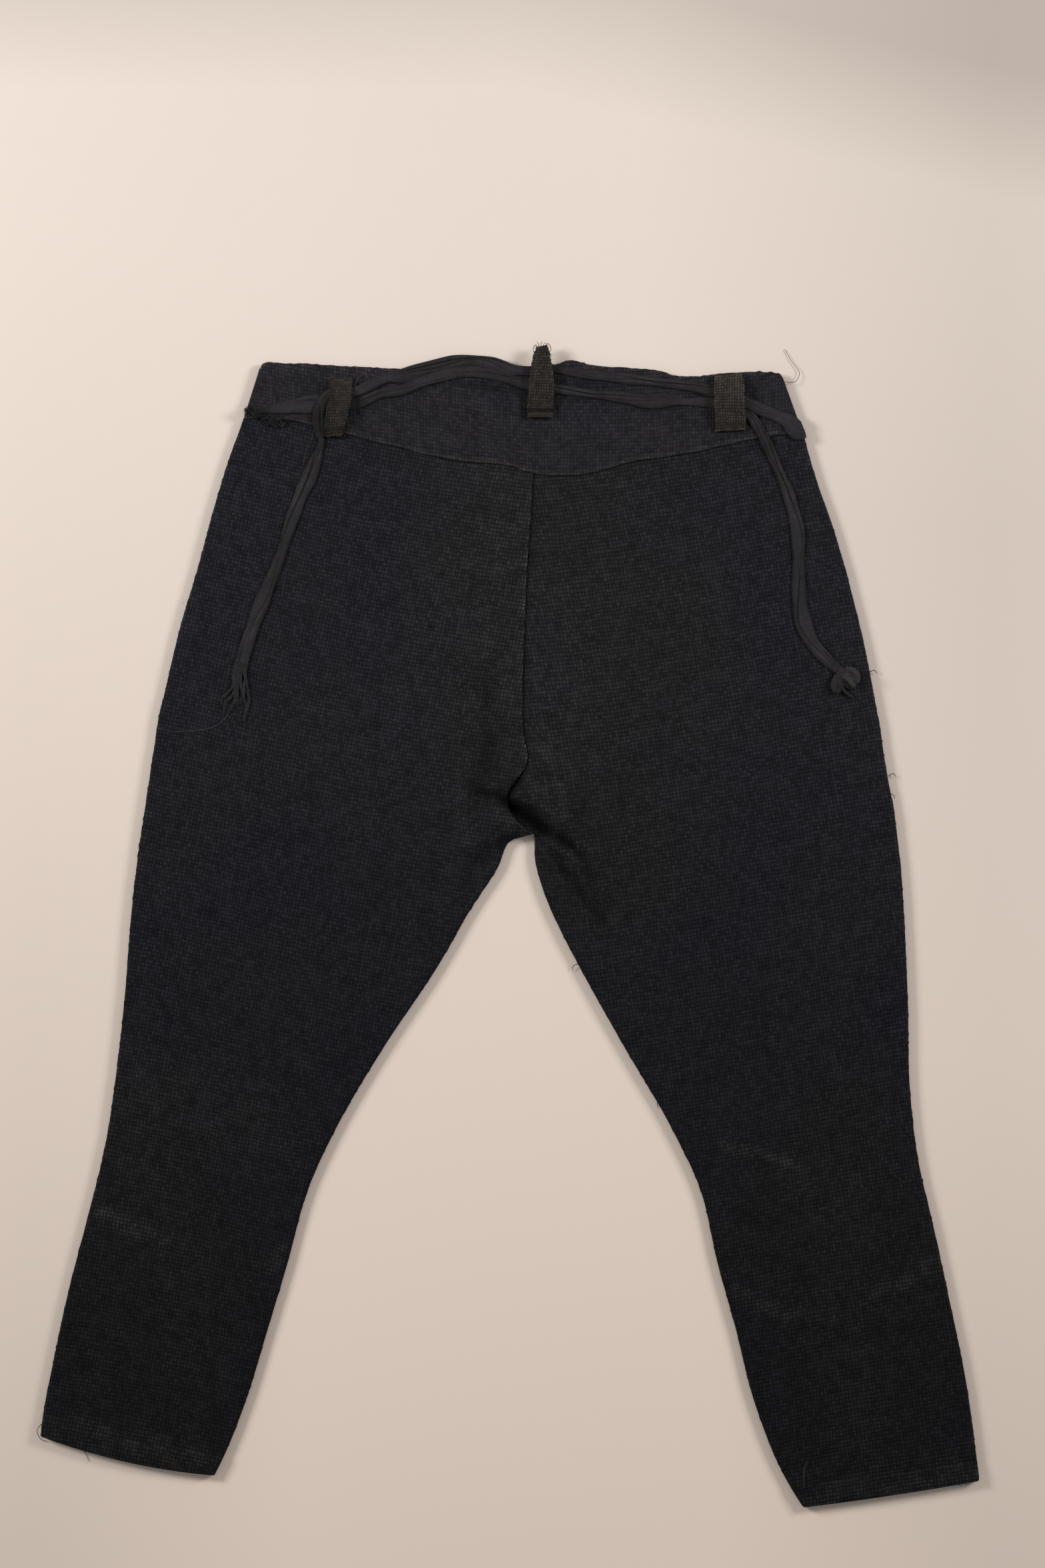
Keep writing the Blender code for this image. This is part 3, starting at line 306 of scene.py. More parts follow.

# Painted shade: dark places in the folds and around the ties and loops, where little light comes in
PAINTED_SHADE = [Stretch(*row) for row in (
    (-42, 408.5, 10, 401.5, 0.34, 5), (10.5, 404, 11.5, 382, 0.5, 4.5), (36, 409.5, 76, 404.5, 0.34, 4),
    (40, 396.5, 76, 393, 0.26, 3.5), (94, 388, 126, 389, 0.36, 4), (-92, 396, -50, 408, 0.25, 4),
    (-138, 382, -140, 366, 0.4, 4), (34.5, 412, 35.5, 384, 0.3, 3), (-116, 394, -98, 399, 0.3, 5),
    (-3, 95, 12, 84, 0.86, 10), (12, 84, 28, 73, 0.82, 9), (28, 73, 44, 62, 0.6, 6.5),
    (44, 62, 56, 50, 0.4, 6), (56, 50, 69, 8, 0.3, 6), (12.5, 122, 7, 110, 0.4, 3.5),
    (7, 110, -2, 97, 0.7, 6), (-20, 190, -13.5, 142, 0.2, 14), (-13.5, 142, -23, 103, 0.36, 9),
    (-25, 101, -4, 97, 0.62, 7), (31, 57, 57, 22, 0.42, 7), (57, 22, 70, 4, 0.4, 6),
    (-27, 52, -4, 64, 0.34, 9), (58, 44.5, 58.5, 35.5, 0.5, 2.6), (185, -226, 212, -222, 0.15, 9),
)]

# Lightness of the cloth from the hems up to the waist, darker towards the hems
TONE = ((-430.0, 0.51), (-300.0, 0.54), (-150.0, 0.66), (20.0, 0.79), (170.0, 0.94), (300.0, 0.98))

# Wide places where the blue has faded to a warmer grey
FADED = [Stretch(*row) for row in (
    (50, 320, 70, 120, 0.9, 150), (-10, 140, 20, 50, 1.0, 100), (-265, -190, -285, -420, 1.0, 130),
    (245, -210, 285, -440, 0.9, 130), (-30, 330, -50, 180, 0.5, 60),
)]


def ease(low: float, high: float, value: Array) -> Array:
    """Rise smoothly from 0 at low to 1 at high.

    Args:
        low: Value where the rise starts.
        high: Value where the rise ends.
        value: Values to read.

    Returns:
        Shares between 0 and 1.
    """
    share = np.clip((np.asarray(value, float) - low) / (high - low), 0.0, 1.0)
    return share * share * (3.0 - 2.0 * share)


def ease_down(low: float, high: float, value: Array) -> Array:
    """Fall smoothly from 1 at low to 0 at high."""
    return 1.0 - ease(low, high, value)


def bell(value: Array, middle: float, width: float) -> Array:
    """Rise to 1 at a middle value and fade away to both sides of it."""
    return np.exp(-((value - middle) / width) ** 2)


def slopes(rows: Array) -> Array:
    """Directions of the smooth curve through the rows, for each unit of distance.

    Args:
        rows: One row of numbers for each point of the curve.

    Returns:
        One direction for each row.
    """
    spans = np.linalg.norm(np.diff(rows, axis=0), axis=1)[:, None]
    steps = np.diff(rows, axis=0) / spans
    inner = (steps[:-1] * spans[1:] + steps[1:] * spans[:-1]) / (spans[:-1] + spans[1:])
    return np.vstack([steps[:1], inner, steps[-1:]])


def curve_at(rows: Array, places: Array) -> Array:
    """Rows of a smooth curve that passes through every row of a table.

    Args:
        rows: One row of numbers for each point of the curve.
        places: Row numbers with fractions.

    Returns:
        One row of numbers for each place.
    """
    at = np.clip(np.floor(places).astype(int), 0, len(rows) - 2)
    share = (places - at)[:, None]
    span = np.linalg.norm(rows[at + 1] - rows[at], axis=1)[:, None]
    slope = slopes(rows)
    keep = (1 + 2 * share) * (1 - share) ** 2
    gain = share * share * (3 - 2 * share)
    push = span * share * (1 - share) ** 2
    pull = span * share * share * (share - 1)
    return keep * rows[at] + push * slope[at] + gain * rows[at + 1] + pull * slope[at + 1]


def even_places(rows: Array, step: float, whole: Callable = np.ceil) -> Array:
    """Row numbers with fractions, spread so that neighbours are about one step apart.

    Args:
        rows: One row of numbers for each point of the curve.
        step: Wanted distance between neighbours.
        whole: How the number of steps in a span is made whole.

    Returns:
        Places from the first row to the last.
    """
    spans = np.linalg.norm(np.diff(rows, axis=0), axis=1)
    counts = np.maximum(1, whole(spans / step).astype(int))
    found = [at + np.arange(count) / count for at, count in enumerate(counts)]
    return np.concatenate(found + [np.array([len(rows) - 1.0])])


def distances(points: Array) -> Array:
    """Distance of each point along the line through them."""
    return np.concatenate([[0.0], np.cumsum(np.linalg.norm(np.diff(points, axis=0), axis=1))])


def frames(middles: Array) -> tuple[Array, Array, Array]:
    """Directions round a curve.

    Args:
        middles: Points of the curve.

    Returns:
        Level directions across it, directions off it, and distances along it.
    """
    run = np.gradient(middles, axis=0)
    run /= np.maximum(np.linalg.norm(run, axis=1), 1e-9)[:, None]
    across = np.cross(run, np.array([0.0, 0.0, 1.0]))
    across /= np.maximum(np.linalg.norm(across, axis=1), 1e-9)[:, None]
    return across, np.cross(across, run), distances(middles)


def both_sides(upper: Array, lower: Array | None = None) -> Array:
    """Values round a strip: across its upper side, then back across its lower one."""
    lower = upper if lower is None else lower
    return np.concatenate([upper, lower[:, -2:0:-1]], axis=1)


def line_distance(x: Array, y: Array, start: Sequence[float], end: Sequence[float]) -> tuple:
    """Distances of points from a stretch of line.

    Args:
        x: Places across.
        y: Places along.
        start: First end of the stretch.
        end: Second end of the stretch.

    Returns:
        Distances, shares along the stretch, and signed sides.
    """
    run_x, run_y = end[0] - start[0], end[1] - start[1]
    squared = max(run_x ** 2 + run_y ** 2, 1e-9)
    share = np.clip(((x - start[0]) * run_x + (y - start[1]) * run_y) / squared, 0.0, 1.0)
    off_x = x - start[0] - run_x * share
    off_y = y - start[1] - run_y * share
    return np.hypot(off_x, off_y), share, run_x * off_y - run_y * off_x


def soft_patches(patches: Sequence[Stretch], x: Array, y: Array) -> Array:
    """Height or strength of every soft patch of a table at some places.

    Args:
        patches: Rows of the table.
        x: Places across.
        y: Places along.

    Returns:
        One layer of values for each row of the table.
    """
    found = []
    for patch in patches:
        share = np.minimum(line_distance(x, y, patch[:2], patch[2:4])[0] / patch.reach, 1.0)
        found.append(patch.amount * (1.0 - share * share) ** 2)
    return np.array(found)


def ridge_sum(ridges: Sequence[Stretch], x: Array, y: Array) -> Array:
    """Height of all the ridges and valleys of a table."""
    return soft_patches(ridges, x, y).sum(axis=0)


def strongest(patches: Sequence[Stretch], x: Array, y: Array) -> Array:
    """Strength of the strongest patch of a table at each place."""
    return soft_patches(patches, x, y).max(axis=0)


def yoke_lines(x: Array) -> tuple[Array, Array]:
    """Waist points and seam points of the yoke's lines that meet the seam near some places.

    Args:
        x: Places across, one for each line.

    Returns:
        Waist points and seam points, one row each.
    """
    rows = np.array(YOKE, float)
    places = np.interp(x, rows[:, 2], np.arange(len(rows)))
    values = curve_at(rows, places)
    return values[:, 0:2], values[:, 2:4]


@dataclass
class Relief:
    """Heights of the upper side of the laid garment, in millimetres."""
    crease_rise: float = 5.0
    crease_crest: float = 0.45
    yoke_rise: float = 1.0
    yoke_turning: float = 12.0
    turning_fall: float = 4.0
    seam_table: Array = field(init=False)

    def __post_init__(self) -> None:
        """Tabulate the height of the yoke seam across the garment."""
        reach = np.linspace(YOKE[0].seam_x, YOKE[-1].seam_x, 400)
        self.seam_table = yoke_lines(reach)[1]

    def crease(self, x: Array, y: Array) -> Array:
        """Height of the fold: steep behind its foot, crowned, and soft on its far side.

        Args:
            x: Places across.
            y: Places along.

        Returns:
            The height at each place.
        """
        best = np.full(np.shape(x), 1e9)
        side = np.zeros(np.shape(x))
        height = np.zeros(np.shape(x))
        width = np.ones(np.shape(x))
        for first, second in zip(CREASE, CREASE[1:]):
            distance, share, here = line_distance(x, y, first[:2], second[:2])
            nearer = distance < best
            best = np.where(nearer, distance, best)
            side = np.where(nearer, here, side)
            height = np.where(nearer, first.height + (second.height - first.height) * share, height)
            width = np.where(nearer, first.width + (second.width - first.width) * share, width)
        rise = ease(0.0, self.crease_rise, best)
        past = (best - self.crease_crest * width) / ((1.0 - self.crease_crest) * width)
        fall = ease_down(0.0, 1.0, past)
        return np.where((side > 0.0) & (best < width), height * rise * fall, 0.0)

    def fold(self, x: Array, y: Array) -> Array:
        """Height of the back's folds and wrinkles above its flat level."""
        total = self.crease(x, y) + ridge_sum(RIDGES, x, y) + ridge_sum(WRINKLES, x, y)
        return np.maximum(total, DEEPEST_FOLD)

    def turned(self, distance: Array) -> Array:
        """Extra height of the yoke at a distance above its lower edge, where it is turned under."""
        fall = ease(self.yoke_turning, self.yoke_turning + self.turning_fall, distance)
        return self.yoke_rise * (1.0 - fall)

    def surface(self, x: Array, y: Array) -> Array:
        """Height of the upper side of the back at places away from its edges.

        Args:
            x: Places across.
            y: Places along.

        Returns:
            The height at each place.
        """
        seam_y = np.interp(x, self.seam_table[:, 0], self.seam_table[:, 1])
        on_yoke = FLAT_TOP + self.turned(y - seam_y)
        return np.where(y >= seam_y, on_yoke, FLAT_TOP + self.fold(x, y))

    def highest(self, x: Array, y: Array, reach: float) -> Array:
        """Highest surface of the back under small patches."""
        spots = [(0.0, 0.0), (-reach, 0.0), (reach, 0.0), (0.0, -reach), (0.0, reach)]
        return np.max([self.surface(x + dx, y + dy) for dx, dy in spots], axis=0)

    def at(self, x: float, y: float) -> float:
        """Height of the upper side of the back at one place."""
        return float(self.surface(np.array([x]), np.array([y]))[0])


def join_quads(rows: int, columns: int, first: int) -> Array:
    """Faces between neighbouring points of a grid.

    Args:
        rows: Rows of the grid.
        columns: Columns of the grid.
        first: Number of the grid's first point.

    Returns:
        Four point numbers for each face.
    """
    grid = first + np.arange(rows * columns).reshape(rows, columns)
    corners = [grid[:-1, :-1], grid[:-1, 1:], grid[1:, 1:], grid[1:, :-1]]
    return np.stack(corners, axis=-1).reshape(-1, 4)


def ring_faces(stations: int, around: int, first: int = 0) -> list[list[int]]:
    """Faces between neighbouring rings of points, and one at both ends.

    Args:
        stations: How many rings there are.
        around: Points of each ring.
        first: Number of the first point.

    Returns:
        The point numbers of each face.
    """
    grid = first + np.arange(stations * around).reshape(stations, around)
    beside = np.roll(grid, -1, axis=1)
    quads = np.stack([grid[:-1], beside[:-1], beside[1:], grid[1:]], axis=-1).reshape(-1, 4)
    return quads.tolist() + [grid[0, ::-1].tolist(), grid[-1].tolist()]


def lay_cloth(mesh: bpy.types.Mesh, uv: Array, masks: dict[str, Array]) -> None:
    """Write the cloth coordinates and the masks of each point onto a mesh.

    Args:
        mesh: The mesh.
        uv: Cloth coordinates of each point, in metres.
        masks: Values of each point, by the name that the finish reads.
    """
    corners = np.zeros(len(mesh.loops), np.int32)
    mesh.loops.foreach_get("vertex_index", corners)
    for layer in list(mesh.uv_layers):
        mesh.uv_layers.remove(layer)
    layer = mesh.uv_layers.new(name="cloth")
    layer.data.foreach_set("uv", uv[corners].astype(np.float32).ravel())
    for mask, values in masks.items():
        attribute = mesh.attributes.new(mask, "FLOAT", "POINT")
        attribute.data.foreach_set("value", np.asarray(values, np.float32).ravel())


def make_piece(name: str, points: Array, faces: Sequence, uv: Array, masks: dict[str, Array],
               sharp: float = 50.0) -> bpy.types.Object:
    """Turn millimetre points and faces into a piece in metres, with its faces pointing out.

    Args:
        name: Name of the piece.
        points: One point for each row.
        faces: Point numbers of each face.
        uv: Cloth coordinates of each point, in millimetres.
        masks: Values of each point, by the name that the finish reads.
        sharp: Angle in degrees past which an edge is sharp.

    Returns:
        The new object, linked to the scene.
    """
    mesh = bpy.data.meshes.new(name)
    mesh.from_pydata((np.asarray(points) * SCALE).tolist(), [], [list(face) for face in faces])
    shape = bmesh.new()
    shape.from_mesh(mesh)
    bmesh.ops.recalc_face_normals(shape, faces=shape.faces)
    shape.to_mesh(mesh)
    shape.free()
    lay_cloth(mesh, np.asarray(uv) * SCALE, masks)
    mesh.shade_smooth()
    mesh.set_sharp_from_angle(angle=math.radians(sharp))
    piece = bpy.data.objects.new(name, mesh)
    bpy.context.scene.collection.objects.link(piece)
    return piece


def shell(name: str, outside: Array, inside: Array, uv: Array, masks: dict[str, Array]) -> bpy.types.Object:
    """A closed wall of cloth between two grids of points with the same rows and columns.

    Args:
        name: Name of the piece.
        outside: Points of the visible side, as rows, columns and three numbers.
        inside: Points of the hidden side.
        uv: Cloth coordinates of the grid's places.
        masks: Values of the grid's places, by the name that the finish reads.

    Returns:
        The new object.
    """
    rows, columns = outside.shape[:2]
    second = rows * columns
    points = np.vstack([outside.reshape(-1, 3), inside.reshape(-1, 3)])
    grid = np.arange(second).reshape(rows, columns)
    rim = np.concatenate([grid[0], grid[1:, -1], grid[-1, -2::-1], grid[-2:0:-1, 0]])
    beside = np.roll(rim, -1)
    edge = np.stack([rim, rim + second, beside + second, beside], axis=-1)
    under = join_quads(rows, columns, second)[:, ::-1]
    faces = np.vstack([join_quads(rows, columns, 0), under, edge]).tolist()
    flat_uv = np.vstack([uv.reshape(-1, 2)] * 2)
    doubled = {mask: np.tile(np.ravel(values), 2) for mask, values in masks.items()}
    return make_piece(name, points, faces, flat_uv, doubled)


def strip(name: str, rings: Array, uv: Array, masks: dict[str, Array],
          sharp: float = 50.0) -> bpy.types.Object:
    """A closed strip or tube through rings of points, with a face at both ends.

    Args:
        name: Name of the piece.
        rings: Points as stations, places round the strip and three numbers.
        uv: Cloth coordinates of the same places.
        masks: Values of the same places, by the name that the finish reads.
        sharp: Angle in degrees past which an edge is sharp.

    Returns:
        The new object.
    """
    stations, around = rings.shape[:2]
    faces = ring_faces(stations, around)
    return make_piece(name, rings.reshape(-1, 3), faces, uv.reshape(-1, 2), masks, sharp)


@dataclass(frozen=True)
class WeaveLay:
    """How the weave lies on a piece: the lean of its lengthwise yarns and the fall of its crosswise ones.

    The lean is in degrees at heights along the piece, and positive where a yarn runs down to the left.
    The fall is in degrees at places across it, and positive where a yarn runs down to the right.
    """
    lean: tuple[tuple[float, float], ...]
    fall: tuple[tuple[float, float], ...]
    turned: bool = False

    def coordinates(self, x: Array, y: Array) -> Array:
        """Cloth coordinates of some places.

        Args:
            x: Places across, in millimetres.
            y: Places along, in millimetres.

        Returns:
            Coordinates across and along the lengthwise yarns, in millimetres.
        """
        line = np.linspace(-500.0, 500.0, 501)
        step = line[1] - line[0]
        lean = np.tan(np.radians(np.interp(line, *zip(*self.lean))))
        fall = np.tan(np.radians(np.interp(line, *zip(*self.fall))))
        shift = np.interp(y, line, np.cumsum(lean) * step)
        drop = np.interp(x, line, np.cumsum(fall) * step)
        pair = (y + drop, x - shift) if self.turned else (x - shift, y + drop)
        return np.stack(pair, axis=-1)


class PanelRows(NamedTuple):
    """Rows across a panel: inner and outer ends, whether the inner end is a seam, and bows.

    The last two fields count sections from the yoke seam and from the hem stitching.
    """
    inner: Array
    outer: Array
    at_seam: Array
    bow: Array
    from_yoke: Array
    from_hem: Array

    def widths(self) -> Array:
        """Length of each row."""
        return np.linalg.norm(self.outer - self.inner, axis=1)

    def along(self, distance: Array) -> tuple[Array, Array]:
        """Places on the rows at distances from their inner ends.

        Args:
            distance: One row of distances for each row of the panel.

        Returns:
            Places across and along.
        """
        share = distance / self.widths()[:, None]
        x, y = (start[:, None] + (end - start)[:, None] * share
                for start, end in zip(self.inner.T, self.outer.T))
        return x, y - 4.0 * self.bow[:, None] * share * (1.0 - share)

    def joined(self, lower: "PanelRows") -> "PanelRows":
        """These rows with those of a lower part of the panel."""
        return PanelRows(*map(np.concatenate, zip(self, lower)))


class Places(NamedTuple):
    """Columns across the rows of a panel: distances of its two sides, level and stretch round the roll."""
    outside: Array
    inside: Array
    level: Array
    stretch: Array


@dataclass
class Columns:
    """How the columns of a fine panel are spread across its rows."""
    roll_steps: int = 5
    near_seam: float = 68.0
    near_step: float = 2.5
    far_count: int = 42

    def spread(self, widths: Array, at_seam: Array) -> Places:
        """Places of all columns on every row, with a rolled edge at each end that isn't a seam.

        Args:
            widths: Length of each row.
            at_seam: Whether the inner end of each row is a seam.

        Returns:
            One row of places for each row of the panel.
        """
        turn = np.linspace(0.0, math.pi / 2, self.roll_steps + 1)
        roll_out = ROLL * (1.0 - np.cos(turn))
        roll_in = ROLL - (ROLL - CLOTH) * np.cos(turn)
        roll_level = np.sin(turn)
        roll_stretch = ROLL * (math.pi / 2 - turn - np.cos(turn))
        near = np.arange(2 * ROLL, self.near_seam + 0.1, self.near_step)
        shares = np.arange(1, self.far_count + 1) / (self.far_count + 1)
        rows = []
        for width, seam in zip(widths, at_seam):
            room = width - ROLL - near[-1]
            middle = np.concatenate([near, near[-1] + room * shares])
            start_in = roll_out if seam else roll_in
            start_level = np.ones(len(turn)) if seam else roll_level
            start_stretch = np.zeros(len(turn)) if seam else -roll_stretch
            flat = np.ones(len(middle))
            rows.append([
                np.concatenate([roll_out, middle, width - roll_out[::-1]]),
                np.concatenate([start_in, middle, width - roll_in[::-1]]),
                np.concatenate([start_level, flat, roll_level[::-1]]),
                np.concatenate([start_stretch, 0.0 * flat, roll_stretch[::-1]]),
            ])
        return Places(*np.moveaxis(np.array(rows), 1, 0))


@dataclass
class Outline:
    """The two legs' rows, read from the tables."""
    row_step: float = 3.4
    front_drop: float = 3.5
    front_waist_rows: int = 12
    hem_row_places: tuple[float, ...] = (0.02, 0.06, 0.1)

    def seat(self, side: Side, step: float) -> tuple[Array, Array, Array]:
        """Outer ends and seam points of the seat's smooth rows, and their places in its table.

        Args:
            side: Which half.
            step: Distance between rows.

        Returns:
            The outer ends, the seam points and the places.
        """
        rows = np.array(SEAT, float)
        places = even_places(rows, step)
        found = curve_at(rows, places)
        return found[:, 0:2] if side is Side.LEFT else found[:, 4:6], found[:, 2:4], places

    def leg(self, side: Side, outer: Array, inner: Array, step: float) -> PanelRows:
        """Smooth rows of a leg below the crotch, down to the hem.

        Args:
            side: Which leg.
            outer: Outer end of the last row above it.
            inner: Inner end of the last row above it.
            step: Distance between rows.

        Returns:
            The rows after the crotch.
        """
        table = LEFT_LEG if side is Side.LEFT else RIGHT_LEG
        rows = np.array([[*outer, *inner, 0.0], *table])
        hem = len(rows) - 2
        places = np.concatenate([even_places(rows, step)[1:], hem + np.array(self.hem_row_places)])
        places = np.sort(places)
        places = places[places >= 1.0]
        found = curve_at(rows, places)
        none = np.zeros(len(found), bool)
        return PanelRows(found[:, 2:4], found[:, 0:2], none, found[:, 4], places + len(SEAT), places - hem)

    def back(self, side: Side) -> PanelRows:
        """Rows of a back panel, from the yoke seam to the hem.

        Args:
            side: Which panel.

        Returns:
            The rows of the panel.
        """
        outer, seam, places = self.seat(side, self.row_step)
        run = np.vstack([seam[1:], seam[-1:]]) - np.vstack([seam[:1], seam[:-1]])
        length = np.linalg.norm(run, axis=1)[:, None]
        normal = np.stack([run[:, 1], -run[:, 0]], axis=-1) / length
        inner = seam + normal * (-side.value * SEAM_GAP / 2)
        flat = np.zeros(len(seam))
        upper = PanelRows(inner, outer, flat == 0.0, flat, places, places - len(SEAT) - len(LEFT_LEG))
        return upper.joined(self.leg(side, outer[-1], seam[-1], self.row_step))

    def front(self, side: Side, step: float) -> PanelRows:
        """Rows of a front panel: the same outline, with a straight centre seam up to the waist.

        Args:
            side: Which panel.
            step: Distance between rows.

        Returns:
            The rows of the panel.
        """
        waist = YOKE[0] if side is Side.LEFT else YOKE[-1]
        corner = np.array([waist.waist_x, waist.waist_y - self.front_drop])
        top = yoke_lines(np.array([SEAT[0].seam_x]))[0][0] - np.array([0.0, self.front_drop])
        crotch = np.array([SEAT[-1].seam_x, SEAT[-1].seam_y])
        outer, seam, _ = self.seat(side, step)
        start = np.linspace(0.0, 1.0, self.front_waist_rows)[:-1, None]
        share = ((top[1] - seam[:, 1]) / (top[1] - crotch[1]))[:, None]
        inner = top + (crotch - top) * share
        inner = np.vstack([top + (inner[0] - top) * start, inner])
        inner = inner + np.array([side.value * SEAM_GAP / 2, 0.0])
        outer = np.vstack([corner + (outer[0] - corner) * start, outer])
        flat = np.zeros(len(inner))
        upper = PanelRows(inner, outer, flat == 0.0, flat, flat, flat - len(SEAT) - len(LEFT_LEG))
        return upper.joined(self.leg(side, outer[-1], crotch, step))


def tone_at(y: Array) -> Array:
    """Lightness of the cloth at some heights, darker towards the hems."""
    return np.interp(y, *zip(*TONE))


def uneven_line(x: Array, step: float, seed: int, low: float) -> Array:
    """Slow random changes along a line, between a low value and 1.

    Args:
        x: Places along the line, in millimetres.
        step: Distance between the random values.
        seed: Start of the random row.
        low: Lowest value.

    Returns:
        One value for each place.
    """
    count = int(1200 / step)
    values = low + (1.0 - low) * np.random.default_rng(seed).random(count)
    return np.interp(x, np.arange(count) * step - 600.0, values)


def yarn_bumps(count: int, seed: int, height: float) -> Array:
    """Small uneven steps of an edge, where the yarns turn round it.

    Args:
        count: How many places the edge has.
        seed: Start of the random row.
        height: Typical size of a step, in millimetres.

    Returns:
        One offset for each place.
    """
    return np.random.default_rng(seed).normal(0.0, height, count)


def leg_lay(side: Side) -> WeaveLay:
    """How the weave of one leg lies.

    Args:
        side: Which leg.

    Returns:
        The lean and the fall of its weave.
    """
    if side is Side.LEFT:
        lean = ((-350.0, 11.0), (0.0, 12.0), (300.0, 13.5))
        fall = ((-360.0, 9.0), (-220.0, 14.5), (-120.0, 12.5), (0.0, 8.0))
    else:
        lean = ((-350.0, -7.0), (0.0, -9.5), (300.0, -13.0))
        fall = ((0.0, -3.5), (90.0, -9.0), (200.0, -11.0), (360.0, -9.0))
    return WeaveLay(lean, fall)


@dataclass
class LegBacks:
    """The two back panels, from the yoke seam to the turned-up hems."""
    relief: Relief
    outline: Outline
    columns: Columns
    hem_rise: float = 0.8
    hem_step: float = 0.1
    fold_fade: float = 12.0
    fade_sections: float = 2.0
    seam_ridge: float = 0.7
    seam_ridge_width: float = 4.0
    seam_groove: float = 0.3
    seam_groove_width: float = 3.0
    edge_bump: float = 0.22
    flat: tuple[float, float] = (0.30, 0.84)
    area: float = 0.168

    def spots(self, rows: PanelRows, distance: Array) -> tuple[Array, Array]:
        """Places of the columns, with the upper rows moved so that the top row follows the yoke seam.

        Args:
            rows: Rows of the panel.
            distance: Distances of the columns from the inner ends.

        Returns:
            Places across and along.
        """
        x, y = rows.along(distance)
        seam = yoke_lines(x[0])[1]
        fade = np.clip(1.0 - rows.from_yoke / self.fade_sections, 0.0, 1.0)[:, None] ** 2
        return x + (seam[:, 0] - x[0]) * fade, y + (seam[:, 1] - SEAM_GAP / 2 - y[0]) * fade

    def seam_relief(self, side: Side, rows: PanelRows, distance: Array) -> Array:
        """Height of the centre seam: its allowances lie to the left and make a ridge there.

        Args:
            side: Which panel.
            rows: Rows of the panel.
            distance: Distance of each place from the seam.

        Returns:
            The height at each place, and 0 on rows away from the seam.
        """
        if side is Side.LEFT:
            width, height = self.seam_ridge_width, self.seam_ridge
        else:
            width, height = self.seam_groove_width, -self.seam_groove
        found = height * ease_down(0.5 * width, width, distance)
        return np.where(rows.at_seam[:, None], found, 0.0)

    def build(self, side: Side) -> bpy.types.Object:
        """Make one back panel.

        Args:
            side: Which leg.

        Returns:
            The panel's cloth.
        """
        rows = self.outline.back(side)
        place = self.columns.spread(rows.widths(), rows.at_seam)
        fade = ease(0.0, self.fold_fade, rows.widths()[:, None] - place.outside)
        free = ease(0.0, self.fold_fade, place.outside)
        fade = fade * np.where(rows.at_seam[:, None], 1.0, free)
        x, y = self.spots(rows, place.outside)
        level = FLAT_TOP + self.relief.fold(x, y) * fade
        rise = self.hem_rise * ease(0.0, self.hem_step, rows.from_hem)[:, None]
        rise = rise + self.seam_relief(side, rows, place.outside)
        upper = BACK_EDGE + (level + rise - BACK_EDGE) * place.level
        under = BACK_EDGE + (level - CLOTH - BACK_EDGE) * place.level
        bumps = yarn_bumps(len(x), 11 + side.value, self.edge_bump)[:, None]
        round_edge = (1.0 - place.level) * np.sign(place.stretch)
        outside = np.stack([x + bumps * round_edge, y, upper], axis=-1)
        inside = np.stack([*self.spots(rows, place.inside), under], axis=-1)
        uv = leg_lay(side).coordinates(x + side.value * place.stretch, y)
        return shell(f"leg_back_{side.word}", outside, inside, uv, self.masks(side, rows, place, x, y))

    def masks(self, side: Side, rows: PanelRows, place: Places, x: Array, y: Array) -> dict[str, Array]:
        """Rubbed and shaded places of a panel.

        Args:
            side: Which leg.
            rows: Rows of the panel.
            place: Its columns.
            x: Places across.
            y: Places along.

        Returns:
            Values by the names that the finish reads.
        """
        at_seam = rows.at_seam[:, None]
        hem = rows.from_hem[:, None]
        worn = strongest(WORN_AND_HIGHLIGHTS, x, y)
        if side is Side.LEFT:
            seam = ease_down(0.0, self.seam_ridge_width, place.outside)
            worn = worn + np.where(at_seam, 0.4 * seam * uneven_line(y, 9.0, 31, 0.4), 0.0)
        band = ease(0.0, self.hem_step, hem)
        pale = 0.26 * ease(-0.4, 0.2, hem) * ease_down(0.5, 0.9, hem)
        turned_up = pale + 0.04 * band + 0.14 * ease(0.8, 1.0, hem)
        worn = worn + turned_up * uneven_line(x, 7.0, 32, 0.3)
        worn = worn + 0.08 * ease_down(0.0, 4.0, rows.widths()[:, None] - place.outside)
        # The cloth's lightness, with painted shade in the folds
        shade = tone_at(y) * (1.0 - strongest(PAINTED_SHADE, x, y))
        # Painted shadow beside the centre seam's ridge on the right panel, and painted shade along the step
        # at the hem's stitching
        if side is Side.RIGHT:
            shade = shade - np.where(at_seam, 0.16 * ease_down(1.0, 8.0, place.outside), 0.0)
        shade = shade - 0.05 * bell(hem, 0.0, 0.12)
        return {"worn": np.clip(worn, 0.0, 1.0), "shade": shade, "faded": strongest(FADED, x, y)}


